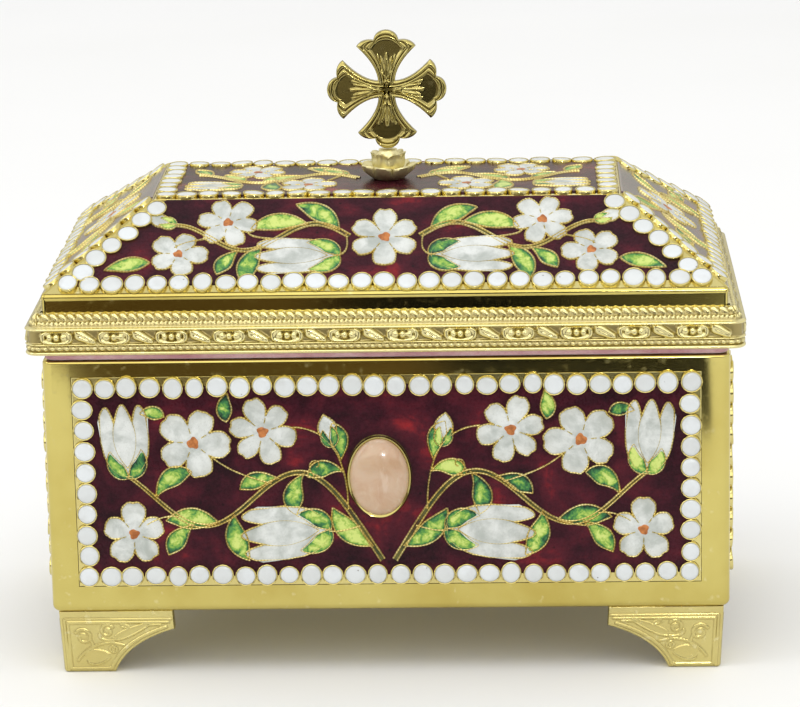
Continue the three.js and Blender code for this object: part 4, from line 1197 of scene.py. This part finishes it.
        # One cup: its foot is half an oval, its lip rises to three points; two wires part the petals.
        root, width = np.asarray(root, float), length * wide
        ahead = unit(np.radians(aim))
        side = np.array([-ahead[1], ahead[0]])
        t = np.linspace(-1, 1, 29)
        base = length * 0.5 * (1 - bow(t))
        lip = length * (0.74 + 0.26 * np.abs(np.cos(1.5 * math.pi * t * 0.94)) ** 0.8 - 0.05 * t * t)
        spread = width / 2 * t * (1 + 0.10 * np.sin(math.pi * np.clip(lip / length, 0, 1)))
        low = root + base[:, None] * ahead + (width / 2 * t)[:, None] * side
        high = root + lip[:, None] * ahead + spread[:, None] * side
        self.strip("petal", high, low, picture["petal"] + 0.02, across=9)
        self.wire(np.concatenate([low, high[-2:0:-1]]), closed=True)
        for k in (-1, 1):
            parting = [root + ahead * length * along + side * k * width * beside
                       for along, beside in ((0.12, 0), (0.4, 0.34), (0.76, 0.19))]
            self.wire(bent(parting), width=0.42)
            self.sepal(root - ahead * 0.4, aim, k, 62, length * 0.46, length * 0.2, 66, 0.08)

    def sepal(self, root, aim, side, lean, length, width, bend, lift):
        high = picture["petal"] + lift
        self.blade("leaf", root, aim + side * lean, length, width, bend=-side * bend, high=high)

    def budOn(self, root, aim, length):
        # A closed flower: one round petal with a green sepal along each side.
        self.blade("petal", root, aim, length, length * 0.52, belly=0.58)
        for side in (-1, 1):
            self.sepal(root, aim, side, 40, length * 0.62, length * 0.24, 56, 0.1)

    def curl(self, root, aim, length, twist):
        # A tendril: it turns faster towards its tip, by the square of the way along.
        share = np.linspace(0, 1, 40)
        steps = unit(np.radians(aim + twist * share ** 2)) * length / (len(share) - 1)
        self.wire(root + np.cumsum(steps, axis=0), width=0.5)

    def stem(self, path):
        # A stem of two wires with brown-green glass between them, tapering towards its tip.
        path, _ = evenly(path, 1.0)
        share = np.linspace(0, 1, len(path))[:, None]
        reach = sideways(path) * (picture["stemWide"] * (1 - share) + picture["stemNarrow"] * share) / 2
        self.strip("stem", path + reach, path - reach, picture["stem"], across=3)
        self.wire(path + reach)
        self.wire(path - reach)

    def leaves(self, path, *rows):
        # Leaves set along a stem: where, on which side, how far they lean, length, width and bend.
        for share, side, lean, length, width, bend in rows:
            spot, aim = spotOn(path, share)
            self.blade("leaf", spot, aim + side * lean, length * 1.18, width * 1.08, bend=side * bend * 1.7,
                       belly=0.6 if length < 11 else 0.52, rib=length > 12.4)


frontVine = {"start": 1.5, "end": 63, "waves": 1.25, "lag": 0.75, "swing": 7.5, "middle": -3.5, "rootY": -20}
frontLeaves = [
    (0.035, -1, 40, 12.0, 4.8, -30), (0.30, -1, 58, 9.4, 4.4, 40), (0.40, 1, 34, 8.6, 3.8, -30),
    (0.58, -1, 46, 11.0, 4.8, 30), (0.64, 1, 40, 11.0, 4.8, -18), (0.74, -1, 52, 8.8, 4.2, 20),
    (0.885, 1, 62, 9.6, 4.4, 46),
]


def frontPicture():
    # Two vines from the foot of the panel, one to each side, with flowers, buds and leaves.
    draw = Drawing()
    for vine in draw.vines(**frontVine):
        upper = bent([spotOn(vine, 0.13)[0], (9.6, 4), (12.5, 13), (22.5, 13.5)], 40)
        draw.wire(upper)
        draw.twig(vine, 0.43, (33, 1), (38, 2.4), (42.4, 6.4))
        draw.twig(vine, 0.085, (9, -12), (11.5, -13), (14.4, -12.6))
        draw.twig(vine, 0.80, (53, -8.2), (56, -9), (58.4, -10.6))
        draw.leaves(vine, *frontLeaves)
        draw.leaves(upper, (0.40, 1, 26, 8.6, 4.0, -24), (0.30, -1, 44, 8.0, 3.8, 50))
        draw.blossom((29.8, 12.4), 8.4, 6, 12)
        draw.blossom((46.6, 9.8), 9.0, 5, 40)
        draw.blossom((61.6, -12.9), 7.9, 5, 18)
        draw.tulip((14.2, -12.2), -4, 21.5, 0.62)
        draw.tulip(spotOn(vine, 0.99)[0], 86, 18.0, 0.64)
        draw.budOn(spotOn(upper, 0.56)[0], 78, 8.6)
        draw.curl(spotOn(vine, 0.26)[0], 52, 7.5, 300)
        draw.blade("leaf", (53.4, 16.4), 30, 6.4, 3.2, bend=-50)
        draw.blade("leaf", (38.4, 15.0), 70, 7.4, 3.6, bend=40)
    return draw


def backPicture():
    # The same two vines with leaves and one flower each: the side that stands against the wall is plainer.
    draw = Drawing()
    for vine in draw.vines(**frontVine):
        draw.leaves(vine, *frontLeaves, (0.17, -1, 60, 12.5, 4.8, 30), (0.27, 1, 46, 13.5, 5.0, -30),
                    (0.40, -1, 46, 11, 4.6, 26), (0.93, -1, 50, 10, 4.4, 20))
        draw.blossom((47.4, 9.6), 9.0, 5, 20)
        draw.twig(vine, 0.43, (33, 1), (37, 2), (40, 4.6))
        draw.budOn(spotOn(vine, 0.99)[0], 80, 10)
    draw.blossom((0, 8), 8.6, 6)
    return draw


def sidePicture():
    draw = Drawing()
    for vine in draw.vines(1.2, 29, 0.9, 0.5, 7.0, -3.5, rootY=-20):
        draw.leaves(vine, (0.06, -1, 44, 9.5, 4.4, -26), (0.40, -1, 66, 8.6, 4.0, 20),
                    (0.62, 1, 50, 10.5, 4.6, -20),
                    (0.76, -1, 40, 11.0, 4.6, 30), (0.26, 1, 24, 10.5, 4.4, -20))
        draw.blossom((24.0, 12.2), 8.2, 5, 20)
        draw.twig(vine, 0.50, (16, 3), (17, 7), (18.4, 9.4))
        draw.tulip((8.4, -13.2), -8, 17)
        draw.twig(vine, 0.12, (4.6, -12), (6.4, -13.4), (8.6, -13.2))
        draw.budOn(spotOn(vine, 1)[0], -70, 8.6)
    draw.wire([(0, -19.5), (0, 1.5)])
    draw.blossom((0, 11.0), 9.0, 6, 30)
    return draw


def slopePicture(flowers):
    # A garland from the middle to each side; the back slope has leaves where the front has flowers.
    draw = Drawing()
    for vine in draw.vines(8.5, 50.5, 1.25, 0, 4.2, 17.6):
        draw.leaves(vine, (0.06, 1, 26, 11.5, 4.8, -30), (0.24, 1, 34, 12.0, 4.8, -34),
                    (0.50, -1, 20, 11.0, 4.6, 30),
                    (0.63, -1, 44, 7.6, 3.8, 20))
        draw.budOn(spotOn(vine, 1)[0], 20 if flowers else -40, 7.4)
        if flowers:
            draw.blossom((38.0, 22.4), 7.8, 6, 10)
            draw.blossom((49.6, 12.4), 7.2, 5, 40)
            draw.tulip((11.2, 11.4), 0, 20, 0.55)
            draw.blade("leaf", (56.4, 9.8), -4, 11.5, 4.4, bend=-20)
            draw.twig(vine, 0.02, (8.4, 14), (9.4, 11.8), (11.4, 11.4))
            draw.twig(vine, 0.42, (31, 17.4), (32.4, 18), (33, 19))
            draw.twig(vine, 0.80, (49, 16), (50, 15), (50.6, 14.4))
        else:
            draw.leaves(vine, (0.12, -1, 44, 12, 4.6, 22), (0.30, -1, 44, 11, 4.6, 22),
                        (0.60, 1, 44, 11, 4.6, -24),
                        (0.86, -1, 40, 11, 4.6, 24))
    draw.blossom((0, 17.2), 8.9 if flowers else 7.6, 6, 30)
    return draw


def lidSidePicture():
    draw = Drawing()
    for vine in draw.vines(7.5, 24.5, 0.9, -0.2, 3.0, 14.6):
        draw.leaves(vine, (0.10, 1, 44, 10.5, 4.6, -34), (0.22, -1, 46, 9.6, 4.4, 30),
                    (0.56, 1, 40, 8.5, 4.0, -26),
                    (0.62, -1, 40, 8.6, 4.0, 24))
        draw.budOn(spotOn(vine, 1)[0], -16, 9)
    draw.blossom((0, 16), 8.6, 6, 30)
    return draw


def topPicture():
    # A garland from under the finial to each end of the flat top.
    draw = Drawing()
    for vine in draw.vines(7.5, 47.5, 1.25, 0, 5, 0):
        draw.leaves(vine, (0.10, 1, 34, 11, 4.6, -30), (0.33, 1, 30, 10.5, 4.6, -30),
                    (0.50, -1, 30, 10.5, 4.6, 30),
                    (0.70, 1, 40, 8.5, 4.0, -26), (0.92, 1, 50, 7.5, 3.6, -24))
        draw.blossom((33.0, 7.8), 7.4, 6, 10)
        draw.blossom((19.6, -8.0), 7.4, 5, 30)
        draw.tulip((36.5, -9.0), 4, 13.5)
        draw.blade("leaf", (10.5, 3.2), 64, 9.5, 4.2, bend=-40)
        draw.twig(vine, 0.78, (38, -3), (34.5, -7), (36.8, -9))
        draw.twig(vine, 0.10, (13.5, 0), (14, -2), (15, -3))
        draw.twig(vine, 0.50, (28, -1), (28.4, 1), (29.4, 2))
    return draw


# ---- all the pieces ----
gold = giltFinish("sheetGold", 0.05, 26, 0.0012, 0.07, relief=False)
# The cast gold of the cross and the bezel is greyed with painted shade.
reliefGold = giltFinish("castGold", 0.07, 6, 0.004, 0.07, shadeTint=0.35)
# The band, feet, bud and cups are paler copies of the gold: painted highlight.
bandGold = giltFinish("bandGold", 0.02, 9, 0.004, 0.18, speckAndHighlight=0.45)
footGold = giltFinish("footGold", 0.03, 7, 0.003, 0.2, speckAndHighlight=0.2)
budGold = giltFinish("budGold", 0.12, 1.8, 0.01, 0.32, speckAndHighlight=0.6, metal=0.85)
cupGold = giltFinish("cupGold", 0.02, 9, 0.003, 0.12, speckAndHighlight=0.2)
wireGold = wireFinish("wireGold")
maroon = groundFinish("maroonGlass", 0.0)
glossyMaroon = groundFinish("glossyMaroonGlass", 1.0)
glass = {
    "leaf": leafFinish("leafGlass"),
    "petal": petalFinish("petalGlass"),
    "heart": smallGlassFinish("heartGlass", (0.56, 0.20, 0.05), (0.30, 0.09, 0.02)),
    "stem": smallGlassFinish("stemGlass", (0.12, 0.12, 0.025), (0.035, 0.05, 0.015), 1.6),
}
white = beadFinish("beadGlass")
print("finishes made")

piece("gildedBox", boxWall(), gold, "gilt_metal", "box_body")
piece("gildedLid", lidShell(), gold, "gilt_metal", "lid_shell")
piece("velvetTray", velvetLining(), velvetFinish("pinkVelvet"), "velvet", "velvet_lining")
piece("lidBandRelief", stampedBand(), bandGold, "gilt_metal", "lid_band", sharp=60)
for name, signX, signY in (("front_left", -1, -1), ("front_right", 1, -1),
                           ("back_right", 1, 1), ("back_left", -1, 1)):
    piece(name + "_bracket", bracketFoot(signX, signY), footGold, "gilt_metal", name + "_foot", sharp=50)
piece("castCross", castCross(), reliefGold, "gilt_metal", "finial_cross", sharp=60)
piece("petalledBud", petalledBud(), budGold, "gilt_metal", "finial_bud", sharp=60)
print("box, lid, band, feet and finial made")

pictures = {"front": frontPicture, "right": sidePicture, "back": backPicture, "left": sidePicture,
            "lidFront": lambda: slopePicture(True), "lidRight": lidSidePicture,
            "lidBack": lambda: slopePicture(False), "lidLeft": lidSidePicture, "lidTop": topPicture}
for name, face in faces.items():
    cups, beads = beadSet(face)
    slanted = name in ("lidLeft", "lidRight")
    draw = pictures[name]()
    made = [("Plate", [platePart(face)] + cups, cupGold, "gilt_metal", 45),
            ("Beads", beads, white, "enamel", 60),
            ("Ground", [groundPart(face)], glossyMaroon if slanted else maroon, "enamel", 60)]
    made += [(kind.capitalize(), cells, glass[kind], "enamel", 60)
             for kind, cells in draw.cells.items() if cells]
    made.append(("Wires", draw.wires, wireGold, "gilt_metal", 70))
    for suffix, parts, finish, slot, sharp in made:
        node = face["node"] if suffix == "Plate" else None
        piece(name + suffix, placed(face, gathered(parts)), finish, slot, node, sharp)
print("plaques made")

front = faces["front"]
peach = stoneFinish("peachStone")
piece("peachStone", placed(front, cabochonStone()), peach, "cabochon", "cabochon", sharp=70)
piece("stoneBezel", placed(front, bezelRing()), reliefGold, "gilt_metal", sharp=60)
print("stone set")


# ---- the studio ----
def stageSheet(name, corners, finish, seen=False):
    # A flat sheet of the studio. One that isn't seen shows only in the metal's and the glass's reflections.
    mesh = bpy.data.meshes.new(name)
    mesh.from_pydata([tuple(np.asarray(c, float) * mm) for c in corners], [], [tuple(range(len(corners)))])
    mesh.materials.append(finish)
    sheet = bpy.data.objects.new(name, mesh)
    bpy.context.scene.collection.objects.link(sheet)
    if not seen:
        for ray in ("camera", "diffuse", "transmission", "volume_scatter", "shadow"):
            setattr(sheet, "visible_" + ray, False)


def wallSheet(name, halfX, y, low, high, finish):
    stageSheet(name, [(-halfX, y, low), (halfX, y, low), (halfX, y, high), (-halfX, y, high)], finish)


def paperFinish(name):
    finish = Finish(name)
    cloud = finish.noise(60, 2, 0.4)
    return finish.done(finish.layered((0.86, 0.86, 0.85), (cloud, (0.88, 0.88, 0.875))), 0.75 + cloud * 0.1)


def roomFinish(name):
    # A dim room in soft patches: brown towards the left, nearly black towards the right; further off the dark
    # begins sooner and gives way to grey again.
    finish = Finish(name)
    patch = finish.noise(90, 3, 0.5, twist=0.3) - 0.5
    across = finish.node("ShaderNodeSeparateXYZ", None, {0: finish.place}, out="X") * 1000
    away = finish.node("ShaderNodeSeparateXYZ", None, {0: finish.place}, out="Y") * -1000
    far = ((away - 358) / 40).held()
    right = ((across - 4 + far * 46 + patch * 60) / 22 + 0.5).held()
    again = (far * (across + patch * 60 - 30) / 80).held()
    high = ((away - 600) / 60).held() * (0.5 - (across + 15) / 7).held()
    colour = finish.layered(
        (0.105, 0.070, 0.030), ((patch * 5 + 0.5).held(), (0.25, 0.165, 0.085)),
        (right, (0.004, 0.005, 0.009)),
        (again, (0.16, 0.15, 0.11)), (high, (0.36, 0.33, 0.26)))
    return finish.glowing(colour, 1.0)


paperHalf, paperZ, dimZ = 4000, -0.05, 0.4
floorCorners = [(x, y, paperZ) for x, y in rectangle(paperHalf, paperHalf)]
stageSheet("paperFloor", floorCorners, paperFinish("paper"), seen=True)
dim = roomFinish("dimRoom")
# The dim floor begins some way in front of the casket, so that the gold still mirrors white paper below it.
dimOutline = [(-1500, -1200), (1500, -1200), (1500, -560), (420, -520), (150, -450), (104, -420), (103, -330),
              (101, -262), (86, -258), (83, -288), (40, -286), (-20, -280), (-60, -278), (-98, -272),
              (-114, -340), (-300, -420), (-1500, -460)]
stageSheet("dimFloor", [(x, y, dimZ) for x, y in dimOutline], dim)
wallSheet("dimWall", 1500, -1250, 0, 240, dim)
wallSheet("brightWall", 1300, -1250, 300, 1500, Finish("brightWall").glowing((1.0, 0.98, 0.92), 1.8))
for name, low, high, strength in (("greyWall", 1, 250, 0.55), ("paleWall", 250, 700, 0.92)):
    wallSheet(name, -1400, 950, low, high, Finish(name).glowing((1.0, 0.97, 0.86), strength))


def posed(name, data, place, side, up, back):
    # A lamp or camera at a place, given its own three directions.
    holder = bpy.data.objects.new(name, data)
    turn = np.eye(4)
    turn[:3, 0], turn[:3, 1], turn[:3, 2], turn[:3, 3] = side, up, back, np.array(place) * mm
    holder.matrix_world = Matrix(turn.tolist())
    bpy.context.scene.collection.objects.link(holder)
    return holder


def softLight(name, place, aim, size, power):
    lamp = bpy.data.lights.new(name, "AREA")
    lamp.shape, lamp.size, lamp.size_y, lamp.energy = "RECTANGLE", size[0] * mm, size[1] * mm, power
    back = np.subtract(place, aim) / np.linalg.norm(np.subtract(place, aim))
    side = np.cross((0, 0, 1), back)
    side = side / np.linalg.norm(side) if np.linalg.norm(side) > 1e-9 else np.array([1.0, 0, 0])
    posed(name, lamp, place, side, np.cross(back, side), back)


softLight("overhead", (0, -500, 1500), (0, -500, 60), (1100, 900), 5)
softLight("leftWindow", (-1300, -500, 900), (0, 0, 60), (600, 900), 3)
softLight("nearLamp", (120, -980, 240), (0, -40, 60), (60, 60), 0.5)

world = bpy.data.worlds.new("studioWorld")
world.use_nodes = True
world.node_tree.nodes["Background"].inputs["Color"].default_value = (1, 1, 1, 1)
world.node_tree.nodes["Background"].inputs["Strength"].default_value = 1.0
bpy.context.scene.world = world
bpy.context.scene.view_settings.view_transform = "Standard"

# The camera: in front and above, a little to the right, tipped down, with a slight roll.
shot = {"place": (33.3, -908.2, 301.1), "azimuth": 1.973, "pitch": 14.36, "roll": -1.110, "lens": 167.7}
azimuth, pitch, roll = (math.radians(shot[key]) for key in ("azimuth", "pitch", "roll"))
toward = np.array([-math.sin(azimuth), math.cos(azimuth), 0]) * math.cos(pitch)
ahead = toward - (0, 0, math.sin(pitch))
right = np.array([math.cos(azimuth), math.sin(azimuth), 0])
up = np.cross(right, ahead)
lens = bpy.data.cameras.new("camera")
lens.lens, lens.sensor_width = shot["lens"], 36
lens.clip_start, lens.clip_end = 0.01, 20
level, sheer = math.cos(roll), math.sin(roll)
camera = posed("camera", lens, shot["place"], right * level + up * sheer, up * level - right * sheer, -ahead)
bpy.context.scene.camera = camera
print("studio ready")
